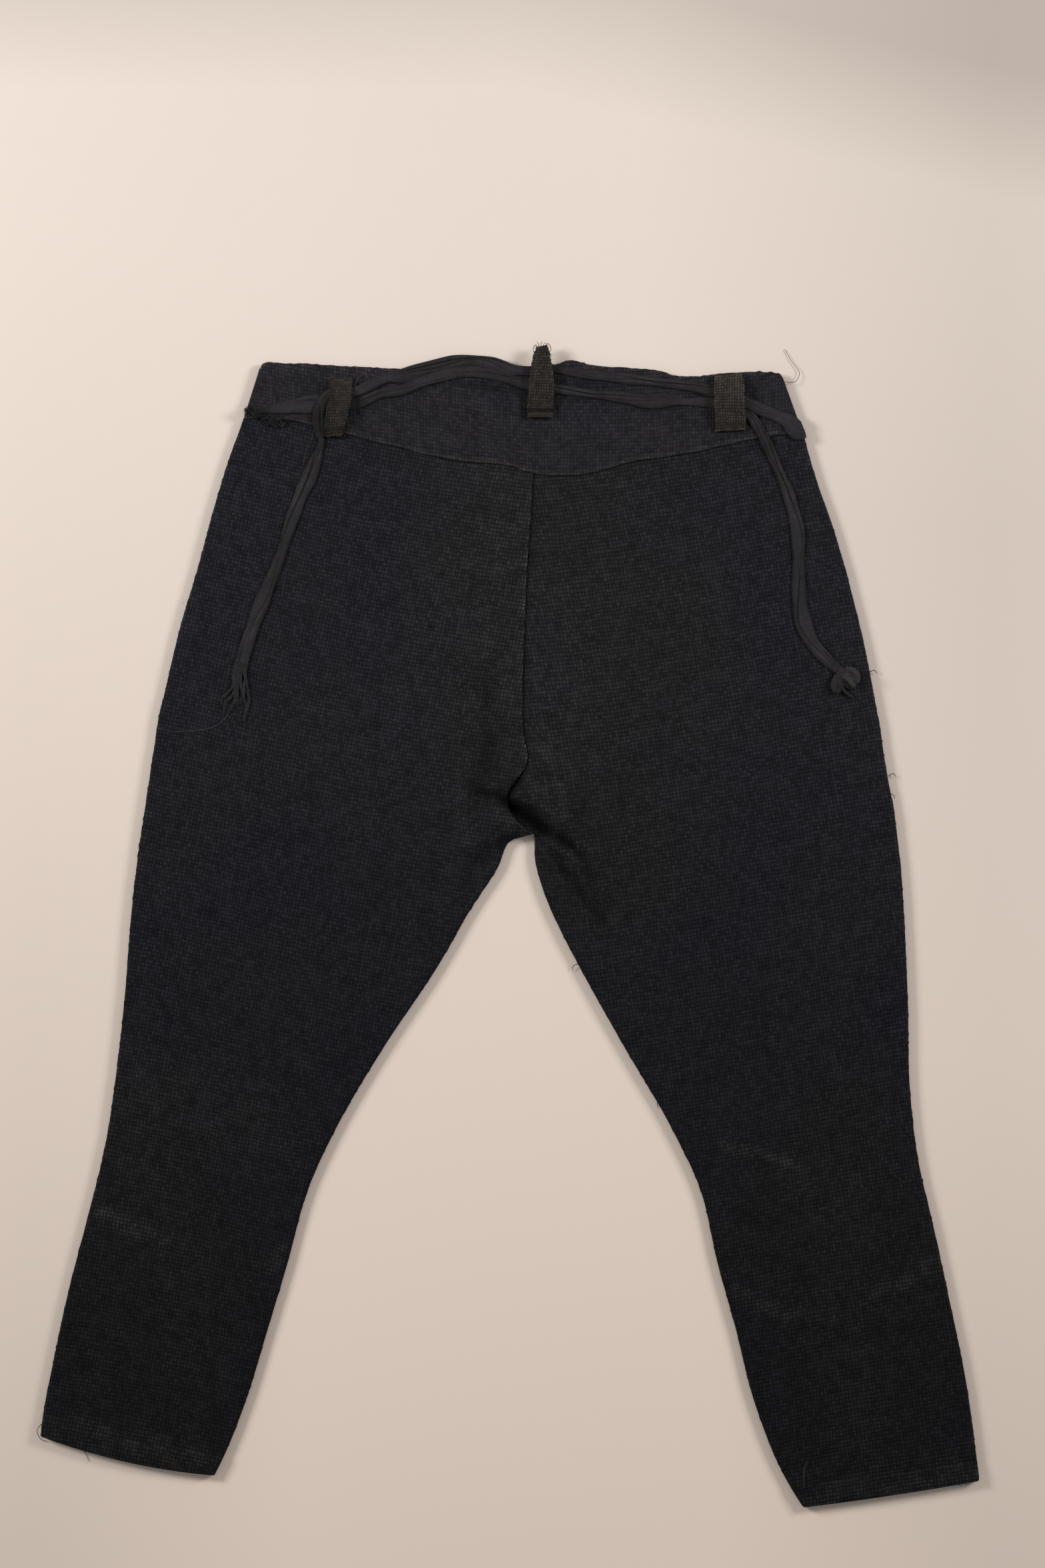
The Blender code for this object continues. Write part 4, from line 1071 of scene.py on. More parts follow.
@dataclass
class LegFronts:
    """The two front panels, which lie flat on the surface under the backs."""
    outline: Outline
    row_step: float = 5.0
    columns: Columns = field(default_factory=lambda: Columns(5, 60.0, 5.0, 26))
    flat: tuple[float, float] = (0.32, 0.88)
    area: float = 0.181

    def build(self, side: Side) -> bpy.types.Object:
        """Make one front panel.

        Args:
            side: Which leg.

        Returns:
            The panel's cloth.
        """
        turn = side.value
        troughs = [row._replace(start_x=row.start_x * turn, end_x=row.end_x * turn) for row in TROUGHS]
        rows = self.outline.front(side, self.row_step)
        place = self.columns.spread(rows.widths(), rows.at_seam)
        x, y = rows.along(place.outside)
        trough = np.minimum(ridge_sum(troughs, x, y) * place.level, TROUGHS[0].amount)
        lower = FRONT_EDGE * (1.0 - place.level) + trough
        upper = FRONT_EDGE + (CLOTH - FRONT_EDGE) * place.level + trough
        outside = np.stack([x, y, lower], axis=-1)
        inside = np.stack([*rows.along(place.inside), upper], axis=-1)
        uv = leg_lay(side).coordinates(x + turn * place.stretch, y)
        hem = rows.from_hem[:, None]
        masks = {
            "worn": 0.3 * strongest(WORN_AND_HIGHLIGHTS, x, y) + 0.1 * ease(0.0, 0.1, hem) + 0.2 * ease(0.8, 1.0, hem),
            # Painted shade along the hem's stitching line
            "shade": tone_at(y) * (1.0 - 0.3 * bell(hem, 0.0, 0.12)),
            "faded": strongest(FADED, x, y),
        }
        return shell(f"leg_front_{side.word}", outside, inside, uv, masks)


@dataclass
class BackYoke:
    """The curved yoke across the back of the waist, rolled over at both sides."""
    relief: Relief
    outline: Outline
    columns: Columns
    lip_width: float = 3.6
    lip_height: float = 0.45
    corner: float = 6.5
    right_corner: float = 0.6
    edge_bump: float = 0.3
    near_rows: tuple[float, ...] = (0.0, 0.6, 1.4, 2.4, 3.6, 5.0, 7.0, 9.5, 12.0, 13.3, 14.7, 16.0)
    far_rows: int = 19
    lean: tuple = ((300.0, 2.0), (430.0, -2.0))
    fall: tuple = ((-220.0, 12.0), (-20.0, 8.0), (40.0, 0.0), (220.0, -8.0))
    flat: tuple[float, float] = (0.44, 0.085)
    area: float = 0.0262

    def lines(self) -> list[Array]:
        """Places of the yoke's lines along its seam, outside and inside, and their levels.

        Returns:
            The outer places, the inner places and the level of each line.
        """
        found = []
        for side in Side:
            top = PanelRows(*(values[:1] for values in self.outline.back(side)))
            place = self.columns.spread(top.widths(), top.at_seam)
            parts = top.along(place.outside)[0][0], top.along(place.inside)[0][0], place.level[0]
            found.append([part[::side.value] for part in parts])
        return [np.concatenate(parts) for parts in zip(*found)]

    def grid(self, x: Array) -> tuple[Array, Array, Array]:
        """Rows of places up the yoke, with its waist corners rounded off.

        Args:
            x: Where the lines meet the seam.

        Returns:
            Places across and along, and their distances above the seam.
        """
        waist, seam = yoke_lines(x)
        height = np.linalg.norm(waist - seam, axis=1)
        start = SEAM_GAP / 2 + np.array(self.near_rows)[:, None] + 0.0 * height
        rest = np.linspace(0.0, 1.0, self.far_rows + 1)[1:, None]
        corner = np.where(x < 0.0, 1.0, self.right_corner) * self.corner
        side = np.minimum(np.abs(x - x[0]), np.abs(x - x[-1])) / corner
        cut = corner * (1.0 - np.sqrt(1.0 - (1.0 - np.clip(side, 0.0, 1.0)) ** 2))
        rise = np.vstack([start, start[-1] + (height - cut - start[-1]) * rest])
        spot = seam + (waist - seam) * (rise / height)[:, :, None]
        return spot[:, :, 0], spot[:, :, 1], rise

    def build(self) -> bpy.types.Object:
        """Make the yoke.

        Returns:
            The yoke's cloth.
        """
        outer_x, inner_x, level = self.lines()
        x, y, rise = self.grid(outer_x)
        under_x, under_y, _ = self.grid(inner_x)
        at_seam = rise < SEAM_GAP
        waist_end = ease_down(0.0, 3.0, rise[-1] - rise)
        lip = self.lip_height * np.sin(np.pi * np.clip(rise / self.lip_width, 0.0, 1.0)) ** 0.7
        seam_bumps = yarn_bumps(x.shape[1], 5, self.edge_bump) * at_seam * 0.4
        waist_bumps = yarn_bumps(x.shape[1], 6, self.edge_bump) * waist_end
        top = FLAT_TOP + self.relief.turned(rise) + lip - 0.5 * waist_end ** 2 - 0.5 * at_seam
        upper = BACK_EDGE + (top - BACK_EDGE) * level
        under = BACK_EDGE + (FLAT_TOP - CLOTH - BACK_EDGE) * level + 0.0 * upper
        outside = np.stack([x, y + np.abs(seam_bumps) + waist_bumps, upper], axis=-1)
        inside = np.stack([under_x, under_y, under], axis=-1)
        worn = 0.22 * ease_down(0.3 * self.lip_width, 1.3 * self.lip_width, rise)
        worn = worn + 0.75 * ease_down(0.9, 2.4, rise) * uneven_line(x, 2.7, 34, 0.2)
        worn = worn * uneven_line(x, 13.0, 33, 0.3)
        waist_rub = 0.2 * waist_end + 0.18 * ease_down(1.0, 12.0, rise[-1] - rise)
        worn = worn + waist_rub * uneven_line(x, 5.0, 35, 0.4)
        # Painted shade in a line just above the turned-under lip, and around the ties and loops
        shade = 1.0 - 0.12 * np.exp(-((rise - 1.5 * self.lip_width) / 1.2) ** 2)
        shade = shade * (1.0 - strongest(PAINTED_SHADE, x, y))
        uv = WeaveLay(self.lean, self.fall, turned=True).coordinates(x, y)
        return shell("waist_yoke", outside, inside, uv, {"worn": np.clip(worn, 0.0, 1.0), "shade": shade})


@dataclass
class BeltLoop:
    """A strip of doubled cloth sewn to the yoke, arched over the ties."""
    name: str
    table: list[LoopRow]
    relief: Relief
    reach: float = 5.0
    crown: float = 0.5
    row_step: float = 0.8
    across: int = 22
    edge_round: float = 0.09
    edge_jitter: float = 0.26
    fold_line: float = 0.45
    # The band, side, foot and corner settings paint shadow and shade onto the loop
    band_shadow_place: float = 5.5
    band_shadow_depth: float = 0.35
    tone: float = 1.0
    corner_shadow: float = 0.0
    side_shade: float = 0.1
    foot_shade: float = 0.0
    seed: int = 1
    flat: tuple[float, float] = (0.02, 0.045)
    frayed: int = 34
    run: Array = field(init=False)

    def rows(self) -> tuple[Array, Array]:
        """Rows across the loop with uneven edges, and the height of its lower side on each row.

        Returns:
            The rows and the heights.
        """
        table = np.array(self.table)
        coarse = curve_at(table, np.arange(2 * len(table) - 1) / 2.0)
        edges = [self.relief.highest(coarse[:, at], coarse[:, at + 1], self.reach) for at in (0, 2)]
        ground = np.max(edges, axis=0)
        places = even_places(table[:, :4] * 0.5, self.row_step)
        rows = curve_at(table, places)
        self.run = distances(rows[:, 0:2])
        for column, seed in ((0, self.seed), (2, self.seed + 50)):
            rows[:, column] += yarn_bumps(len(rows), seed, self.edge_jitter)
        base = np.interp(places, np.arange(len(ground)) / 2.0, ground) + SEAM_GAP + rows[:, 4]
        return rows, base

    def build(self) -> bpy.types.Object:
        """Make the loop.

        Returns:
            The loop's cloth.
        """
        rows, base = self.rows()
        share = (1.0 - np.cos(np.linspace(0.0, math.pi, self.across))) / 2.0
        x = rows[:, 0:1] + (rows[:, 2:3] - rows[:, 0:1]) * share
        y = rows[:, 1:2] + (rows[:, 3:4] - rows[:, 1:2]) * share
        edge = np.minimum(share, 1.0 - share)
        bevel = np.clip(edge / self.edge_round, 0.0, 1.0)
        round_off = np.sqrt(np.clip(1.0 - (1.0 - bevel) ** 2, 0.0, 1.0))
        half = LOOP_CLOTH / 2
        crown = 4.0 * self.crown * share * (1.0 - share) - 0.18 * bell(share, self.fold_line, 0.05)
        middle = base[:, None] + half
        top = np.stack([x, y, middle + half * round_off + crown], axis=-1)
        bottom = np.stack([x, y, middle - half * round_off], axis=-1)
        width = np.hypot(rows[:, 2] - rows[:, 0], rows[:, 3] - rows[:, 1])[:, None]
        low = self.run[:, None]
        uv = np.stack([width * share, low + 0.0 * share], axis=-1)
        worn = 0.5 * ease_down(0.0, 2.0, width * edge)
        worn = worn * uneven_line(rows[:, 1:2], 2.2, self.seed, 0.2)
        worn = worn + 0.3 * ease_down(0.5, 3.5, low) + 0.2 * ease_down(0.5, 3.0, self.run[-1] - low)
        corner = np.hypot(x - x[-1, 0] - 0.6, y - y[-1, 0] + 5.0)
        # Painted shadow: a dark band across each loop where its lifted body ends above the stitched bar
        shade = 1.12 * self.tone * (1.0 - self.band_shadow_depth * bell(low, self.band_shadow_place, 1.2))
        shade = shade * uneven_line(share * 300.0, 24.0, self.seed + 7, 0.76)
        # Painted shade on the left side and foot of each loop, on the lower part of the right loop and in the
        # folded-over corner of the left loop
        foot_shade = 0.5 * ease_down(2.0, 9.0, low)
        shade = shade * (1.0 - self.side_shade * (bell(share, 0.0, 0.3) + foot_shade))
        shade = shade * (1.0 - self.foot_shade * ease_down(19.0, 24.0, low))
        shade = shade * (1.0 - self.corner_shadow * bell(corner, 0.0, 1.9))
        masks = {"worn": both_sides(worn), "shade": both_sides(shade)}
        return strip(self.name, both_sides(top, bottom), both_sides(uv), masks)

    def fray(self) -> list[tuple]:
        """Short broken threads that stand out from both long edges.

        Returns:
            Line, radius, taper and lightness of each thread.
        """
        rows, base = self.rows()
        random = np.random.default_rng(self.seed + 90)
        found = []
        for index in random.integers(1, len(rows) - 1, self.frayed):
            side = random.integers(0, 2)
            out = (1.0 if side else -1.0) * random.uniform(0.5, 1.3)
            x, y = rows[index, 2 * side], rows[index, 2 * side + 1]
            z = base[index] + LOOP_CLOTH * random.uniform(0.3, 1.0)
            line = [(x - 0.6 * out, y, z), (x + 0.3 * out, y + random.normal(0.0, 0.4), z + 0.1),
                    (x + out, y + random.normal(0.0, 0.9), z - 0.3)]
            found.append((line, 0.13, 0.6, random.uniform(0.0, 0.4)))
        return found


@dataclass
class StitchRow:
    """A row of small stitches along a line on the cloth, in millimetres."""
    path: Array
    length: float = 2.6
    gap: float = 1.4
    radius: float = 0.2
    light: float = 0.05
    rise: tuple[float, float, float] = (-0.25, 0.12, -0.25)

    def lines(self) -> list[tuple]:
        """Points, radius, taper and lightness of every stitch.

        Returns:
            Line, radius, taper and lightness of each stitch.
        """
        run = distances(self.path)
        found = []
        for start in np.arange(0.8, run[-1] - self.length, self.length + self.gap):
            places = start + self.length * np.array([0.0, 0.5, 1.0])
            line = np.column_stack([np.interp(places, run, values) for values in self.path.T])
            line[:, 2] += self.rise
            found.append((line, self.radius, 1.0, self.light))
        return found


@dataclass
class Crumple:
    """A lengthwise fold of a crumpled tape: where its edge lies across the tape and how it wanders."""
    middle: float
    wander: float
    wave: float
    phase: float
    height: float
    side: float = 1.0
    sharp: float = 0.12

    def edge(self, run: Array, across: Array) -> tuple[Array, Array]:
        """Strength of the fold, and places across the tape from the fold's edge.

        Args:
            run: Distances along the tape.
            across: Places across it, from -1 to 1.

        Returns:
            Strengths and places.
        """
        turn = 2 * math.pi * run / self.wave + self.phase
        strength = np.clip(0.68 + 0.55 * np.sin(0.47 * turn + 1.7 * self.phase), 0.0, 1.0)
        return strength, (across - self.middle - self.wander * np.sin(turn)) * self.side

    def height_at(self, run: Array, across: Array) -> Array:
        """Height of the folded layer, which falls off at the fold's edge.

        Args:
            run: Distances along the tape.
            across: Places across the tape.

        Returns:
            The height at each place.
        """
        strength, off = self.edge(run, across)
        layer = 0.5 + 0.5 * np.tanh(off / self.sharp)
        return self.height * strength * layer * (1.0 - 0.4 * np.clip(off, 0.0, 1.0))

    def foot(self, run: Array, across: Array) -> Array:
        """Painted shade in the crease at the foot of the fold's edge."""
        strength, off = self.edge(run, across)
        return strength * bell(off, -0.08, 0.12)

    def crest(self, run: Array, across: Array) -> Array:
        """Lightness of the fold's edge: rubbed wear with a painted highlight."""
        strength, off = self.edge(run, across)
        return strength * bell(off, 0.14, 0.12)


class Flap(NamedTuple):
    """A stretch where one side of a tape spreads wider: its ends across the garment, width and side."""
    start_x: float
    end_x: float
    width: float
    side: float


@dataclass
class Tape:
    """A flat twill tape along a route over the back."""
    name: str
    table: list[TiePoint]
    relief: Relief
    folds: list[Crumple]
    start: list[tuple[float, float, float, float]] = field(default_factory=list)
    flaps: tuple[Flap, ...] = ()
    flap_fade: float = 12.0
    twist: tuple[float, float] | None = None
    dark_start: float = 0.4
    coarse_step: float = 8.0
    fine_step: float = 1.4
    reach: float = 5.0
    clearance: float = 0.4
    across: int = 23
    loop_reach: float = 16.0
    loop_places: tuple[float, ...] = (-128.0, 23.0, 165.0)

    def stations(self) -> Array:
        """Middle points and widths, closely spaced on a smooth curve through the plain solid's stations.

        Returns:
            One row for each station.
        """
        table = np.array(self.table)
        rows = curve_at(table, even_places(table[:, :2], self.coarse_step, np.round))
        ground = self.relief.highest(rows[:, 0], rows[:, 1], self.reach)
        height = ground + self.clearance + TAPE / 2 + rows[:, 3]
        found = np.stack([rows[:, 0], rows[:, 1], height, rows[:, 2]], axis=-1)
        rows = np.vstack([np.array(self.start).reshape(-1, 4), found])
        return curve_at(rows, even_places(rows[:, :3], self.fine_step))

    def route(self) -> Array:
        """Middle line of the tape, in millimetres."""
        return self.stations()[:, :3]

    def twisting(self, middles: Array, travelled: Array) -> Array:
        """How near each station is to the tape's twist, from 0 to 1.

        Args:
            middles: Middle points of the stations.
            travelled: Distance of each station from the start.

        Returns:
            One column of shares.
        """
        if self.twist is None:
            return np.zeros((len(travelled), 1))
        cross = travelled[np.argmin(np.hypot(*(middles[:, :2] - np.array(self.twist)).T))]
        before = bell(travelled - cross, -19.0, 12.0)
        return (before + 0.6 * bell(travelled - cross, 7.0, 6.0))[:, None]

    def calmness(self, middles: Array, travelled: Array) -> Array:
        """How far the crumples may rise: less in the loops and on the flat first stretch.

        Args:
            middles: Middle points of the stations.
            travelled: Distance of each station from the start.

        Returns:
            One column of shares.
        """
        off = np.min([np.abs(middles[:, 0] - place) for place in self.loop_places], axis=0)
        calm = np.where(middles[:, 1] > 350.0, 0.35 + 0.65 * ease(0.5, 1.5, off / self.loop_reach), 1.0)
        return (calm * (0.25 + 0.75 * ease(22.0, 46.0, travelled)))[:, None]

    def places_across(self, middles: Array, half: Array, share: Array) -> Array:
        """Places across the tape, with its flaps spread out.

        Args:
            middles: Points of its middle line.
            half: Half widths.
            share: Places from -1 to 1.

        Returns:
            Distances from the middle line.
        """
        place = half * share
        for flap in self.flaps:
            start = ease(flap.start_x, flap.start_x + self.flap_fade, middles[:, 0])
            end = ease_down(flap.end_x - self.flap_fade, flap.end_x, middles[:, 0])
            extra = (flap.width * start * end * (middles[:, 1] > 350.0))[:, None]
            place = place + flap.side * extra * np.clip(flap.side * share, 0.0, 1.0)
        return place

    def build(self) -> bpy.types.Object:
        """Make the tape.

        Returns:
            The tape's cloth.
        """
        stations = self.stations()
        middles = stations[:, :3]
        across, normal, travelled = frames(middles)
        share = np.linspace(-1.0, 1.0, self.across)
        run = travelled[:, None]
        fold, crest, foot = (
            sum(look(crumple, run, share) for crumple in self.folds)
            for look in (Crumple.height_at, Crumple.crest, Crumple.foot))
        calm = self.calmness(middles, travelled)
        near = self.twisting(middles, travelled)
        groove = near * bell(share, -0.2, 0.2)
        edge = TAPE / 2 * (1.0 - np.abs(share) ** 2.8)
        top = edge + fold * calm * (1.0 - np.abs(share) ** 4) - 0.35 * groove
        wobble = 1.0 + 0.07 * np.sin(travelled / 5.3) + 0.09 * np.sin(travelled / 12.3 + 2.0)
        place = self.places_across(middles, (stations[:, 3] * wobble / 2)[:, None], share)
        flat = middles[:, None] + across[:, None] * place[:, :, None]
        sides = [flat + normal[:, None] * height[:, :, None] for height in (top, 0.0 * top - edge)]
        uv = both_sides(np.stack([place, run + 0.0 * share], axis=-1))
        # The folds' edges are rubbed and carry a painted highlight, the tape's own edges are rubbed, and the
        # rim beside the twist carries a painted highlight
        worn = 0.34 * crest + 0.16 * np.abs(share) ** 8 + 0.3 * near * bell(share, -0.8, 0.2)
        slow = (0.9 + 0.1 * np.sin(run / 17.0)) * (1.0 - self.dark_start * ease_down(2.0, 14.0, run))
        # Painted shade towards the rolled edges, on one half beside the twist, in the creases at the folds'
        # feet and in the twist's groove
        outer = 1.06 - 0.4 * np.abs(share) ** 4 - 0.25 * near * (share > 0.0)
        shade = np.clip(slow * outer * (1.0 - 0.6 * foot * calm) * (1.0 - 0.7 * groove), 0.2, 1.1)
        masks = {"worn": both_sides(worn), "shade": both_sides(shade)}
        return strip(self.name, both_sides(*sides), uv, masks, sharp=60.0)


def edge_wrap() -> list[tuple[float, float, float, float]]:
    """First stations of the long tie, which comes round the rolled right side edge of the yoke.

    Returns:
        Place, height and width of each station.
    """
    ends = yoke_lines(np.array([YOKE[-1].seam_x]))
    waist, seam = ends[0][0], ends[1][0]
    length = math.dist(waist, seam)
    edge = seam + (waist - seam) * WRAP_HEIGHT / length
    outward = np.array([waist[1] - seam[1], seam[0] - waist[0]]) / length
    return [(*(edge + outward * point.out), point.height, WRAP_WIDTH) for point in EDGE_WRAP]


def tube(points: Array, radius: float, sides: int, step: float, taper: float) -> tuple[Array, Array]:
    """Rings of a thin round thread along a smooth curve.

    Args:
        points: Points of the thread's middle line.
        radius: Radius at its start.
        sides: Points of each ring.
        step: Distance between rings.
        taper: Radius at its end, as a share of the radius at its start.

    Returns:
        Rings and their distances along the thread.
    """
    middles = curve_at(points, even_places(points, step))
    across, normal, travelled = frames(middles)
    size = radius * (1.0 + (taper - 1.0) * travelled / travelled[-1])
    turn = np.arange(sides) * 2 * math.pi / sides
    ring = across[:, None] * np.cos(turn)[None, :, None] + normal[:, None] * np.sin(turn)[None, :, None]
    return middles[:, None] + ring * size[:, None, None], travelled


def thread_bundle(name: str, threads: Sequence[tuple], sides: int = 5, step: float = 0.9) -> bpy.types.Object:
    """Several thin threads as one piece.

    Args:
        name: Name of the piece.
        threads: Points, radius, taper and lightness of each thread, which is dark below nought.
        sides: Points round each thread.
        step: Distance between the rings.

    Returns:
        The new object.
    """
    points, faces, uv, lights = [], [], [], []
    first = 0
    for line, radius, taper, light in threads:
        rings, travelled = tube(np.array(line, float), radius, sides, step, taper)
        faces += ring_faces(len(rings), sides, first)
        points.append(rings.reshape(-1, 3))
        round_it = np.tile(np.arange(sides) / sides, len(rings))
        uv.append(np.stack([round_it, np.repeat(travelled, sides)], axis=-1))
        lights.append(np.full(len(round_it), float(light)))
        first += len(round_it)
    light = np.concatenate(lights)
    masks = {"worn": np.maximum(light, 0.0), "shade": 1.0 + np.minimum(light, 0.0)}
    return make_piece(name, np.vstack(points), faces, np.vstack(uv), masks)


@dataclass
class TornEnd:
    """A torn end of a tape: a short backing with strands that part from each other."""
    name: str
    start: tuple[float, float]
    direction: tuple[float, float]
    length: float
    width: float
    locks: list[Lock]
    relief: Relief
    strands_per_lock: int = 4
    strand_radius: float = 0.23
    seed: int = 3
    clearance: float = 0.4

    def threads(self) -> list[tuple]:
        """Lines of the strands and of the twisted lock that each group of them lies on.

        Returns:
            Line, radius, taper and lightness of each thread.
        """
        random = np.random.default_rng(self.seed)
        along = np.array(self.direction)
        across = np.array([-along[1], along[0]])
        found = []
        for index, lock in enumerate(self.locks):
            phase = random.uniform(0.0, 6.3)
            for strand in range(-1, self.strands_per_lock):
                core = strand < 0
                place = 0.5 if core else (strand + 0.5) / self.strands_per_lock
                share = (index + place) / len(self.locks) - 0.5
                loose = 0.2 if core else 1.0
                back = random.uniform(0.4, 2.4)
                root = np.array(self.start) + across * share * self.width * 0.9 - along * back
                bend = np.array([lock.bend_x, lock.bend_y]) + random.normal(0.0, 0.45, 2) * loose
                tip = np.array([lock.tip_x, lock.tip_y]) + across * (place - 0.5) * 2.6 * loose
                tip = tip + random.normal(0.0, 1.0, 2) * loose
                leave = root + along * (self.length + random.uniform(0.6, 3.0))
                line = [root, leave, (leave + bend) / 2, bend, (bend + tip) / 2,
                        bend * 0.25 + tip * 0.75, tip]
                rise = [0.5, 0.7, 0.8, 0.7, 0.7, 0.5, 0.3]
                placed = []
                for step, (spot, height) in enumerate(zip(line, rise)):
                    wave = 0.0 if step < 2 else math.sin(phase + 1.9 * step) * (0.5 + 0.2 * step)
                    spot = spot + across * wave + random.normal(0.0, 0.12 * min(step, 4), 2) * loose
                    ground = self.relief.at(*spot) + self.clearance
                    placed.append((*spot, ground + height + 0.25 * random.random() * loose))
                light = -0.12 if core else random.uniform(-0.1, 0.85)
                found.append((placed, 0.8 if core else self.strand_radius, 0.2 if core else 0.4, light))
        return found

    def build(self) -> bpy.types.Object:
        """Make the torn end.

        Returns:
            The strands, as one piece.
        """
        return thread_bundle(self.name, self.threads(), sides=6, step=1.0)


class Clump(NamedTuple):
    """A clump of torn threads: its middle, its half sizes and its number of threads."""
    x: float
    y: float
    half_x: float
    half_y: float
    count: int


@dataclass
class Tuft:
    """The matted threads that the torn tape leaves below its stub."""
    relief: Relief
    clumps: tuple[Clump, ...] = (
        Clump(-176.5, 378.5, 9.5, 4.6, 70), Clump(-188.0, 383.5, 6.0, 3.0, 44),
        Clump(-196.0, 386.0, 3.0, 3.6, 30))
    rolls: tuple[tuple[float, ...], ...] = (
        (-186, 381.5, -180, 379, 1.2), (-181.5, 381.2, -176, 378, 1.5), (-178, 377.5, -171, 380.6, 1.4),
        (-173.5, 379.8, -168, 376.4, 1.3), (-179.5, 376.4, -174, 374.8, 1.2), (-175, 376.6, -169, 375, 1.1),
        (-193.5, 385, -188, 382.4, 1.0), (-189, 383.8, -185, 381.4, 1.0), (-198, 387.5, -193, 384, 0.9))
    rise: float = 3.0
    clearance: float = 0.5
    radius: float = 0.15
    seed: int = 21

    def build(self) -> bpy.types.Object:
        """Make the tuft.

        Returns:
            Its threads, as one piece.
        """
        random = np.random.default_rng(self.seed)
        found = []
        for clump in self.clumps:
            for _ in range(clump.count):
                turn = random.uniform(0.0, 2 * math.pi)
                out = math.sqrt(random.random())
                heading = random.uniform(0.0, 2 * math.pi)
                spot = np.array([math.cos(turn), math.sin(turn)]) * out
                line = []
                for _ in range(5):
                    reach = min(float(np.hypot(*spot)), 1.25)
                    x = clump.x + clump.half_x * spot[0]
                    y = clump.y + clump.half_y * spot[1]
                    mound = self.rise * max(1.0 - reach * reach, 0.0) * random.uniform(0.3, 1.1)
                    line.append((x, y, self.relief.at(x, y) + self.clearance + mound))
                    heading += random.normal(0.0, 0.9)
                    step = random.uniform(0.14, 0.3)
                    spot = spot + np.array([math.cos(heading), 1.6 * math.sin(heading)]) * step
                    spot = spot / max(1.0, float(np.hypot(*spot)) / 1.15)
                found.append((line, self.radius, 0.7, random.uniform(-0.4, 0.15)))
        for left, upper, right, lower, thick in self.rolls:
            line = []
            for share in (0.0, 0.35, 0.7, 1.0):
                x = left + (right - left) * share
                y = upper + (lower - upper) * share + random.normal(0.0, 0.8)
                lift = self.clearance + random.uniform(0.5, 0.9) * thick
                line.append((x, y, self.relief.at(x, y) + lift))
            found.append((line, thick, 0.5, random.uniform(-0.45, -0.2)))
        return thread_bundle("short_tape_tuft", found, sides=5, step=0.9)


class KnotTurn(NamedTuple):
    """One turn of the knotted tape: its width, its thickness, and points of its middle line with heights."""
    name: str
    width: float
    thickness: float
    points: list[tuple[float, float, float]]


KNOT_TURNS = [KnotTurn(*row) for row in (
    ("incoming tape", 7.6, 2.0, [(245.6, 193, 1), (250, 189.5, 2.2), (255, 185.5, 3)]),
    ("upper curl", 4.4, 2.0, [(250.5, 191.2, 2.2), (254.4, 192.6, 3.2), (258.8, 190.6, 3.8),
                              (260.8, 186.4, 3.6), (259.4, 181.6, 2.4)]),
    ("inner curl", 4.6, 1.8, [(252, 189, 2.4), (255.8, 188, 3), (258, 184.6, 2.8), (257.4, 181, 2)]),
    ("crossing band", 4.0, 2.0, [(247.4, 187.4, 2.4), (251.2, 187, 3.6), (254.8, 184, 4.4),
                                 (257.6, 180.4, 3.6), (258.8, 178.6, 2.2)]),
    ("left fold", 4.4, 1.9, [(248.2, 190, 2), (244.6, 186.2, 2.2), (242.8, 181, 2.4), (244.4, 177, 2),
                             (248.4, 176.6, 1.6)]),
    ("left lining", 6.0, 1.7, [(250.4, 187, 2), (248, 182.6, 2), (248.8, 178.4, 1.6)]),
    ("middle fold", 4.2, 1.5, [(249.6, 184.6, 1.6), (252.8, 181.4, 1.8), (256, 178.6, 1.4)]),
    ("tail", 2.2, 1.3, [(248.4, 180.8, 1.8), (250.6, 177.4, 1.8), (254.2, 173.8, 1.2), (258.2, 171.6, 0.8)]),
)]


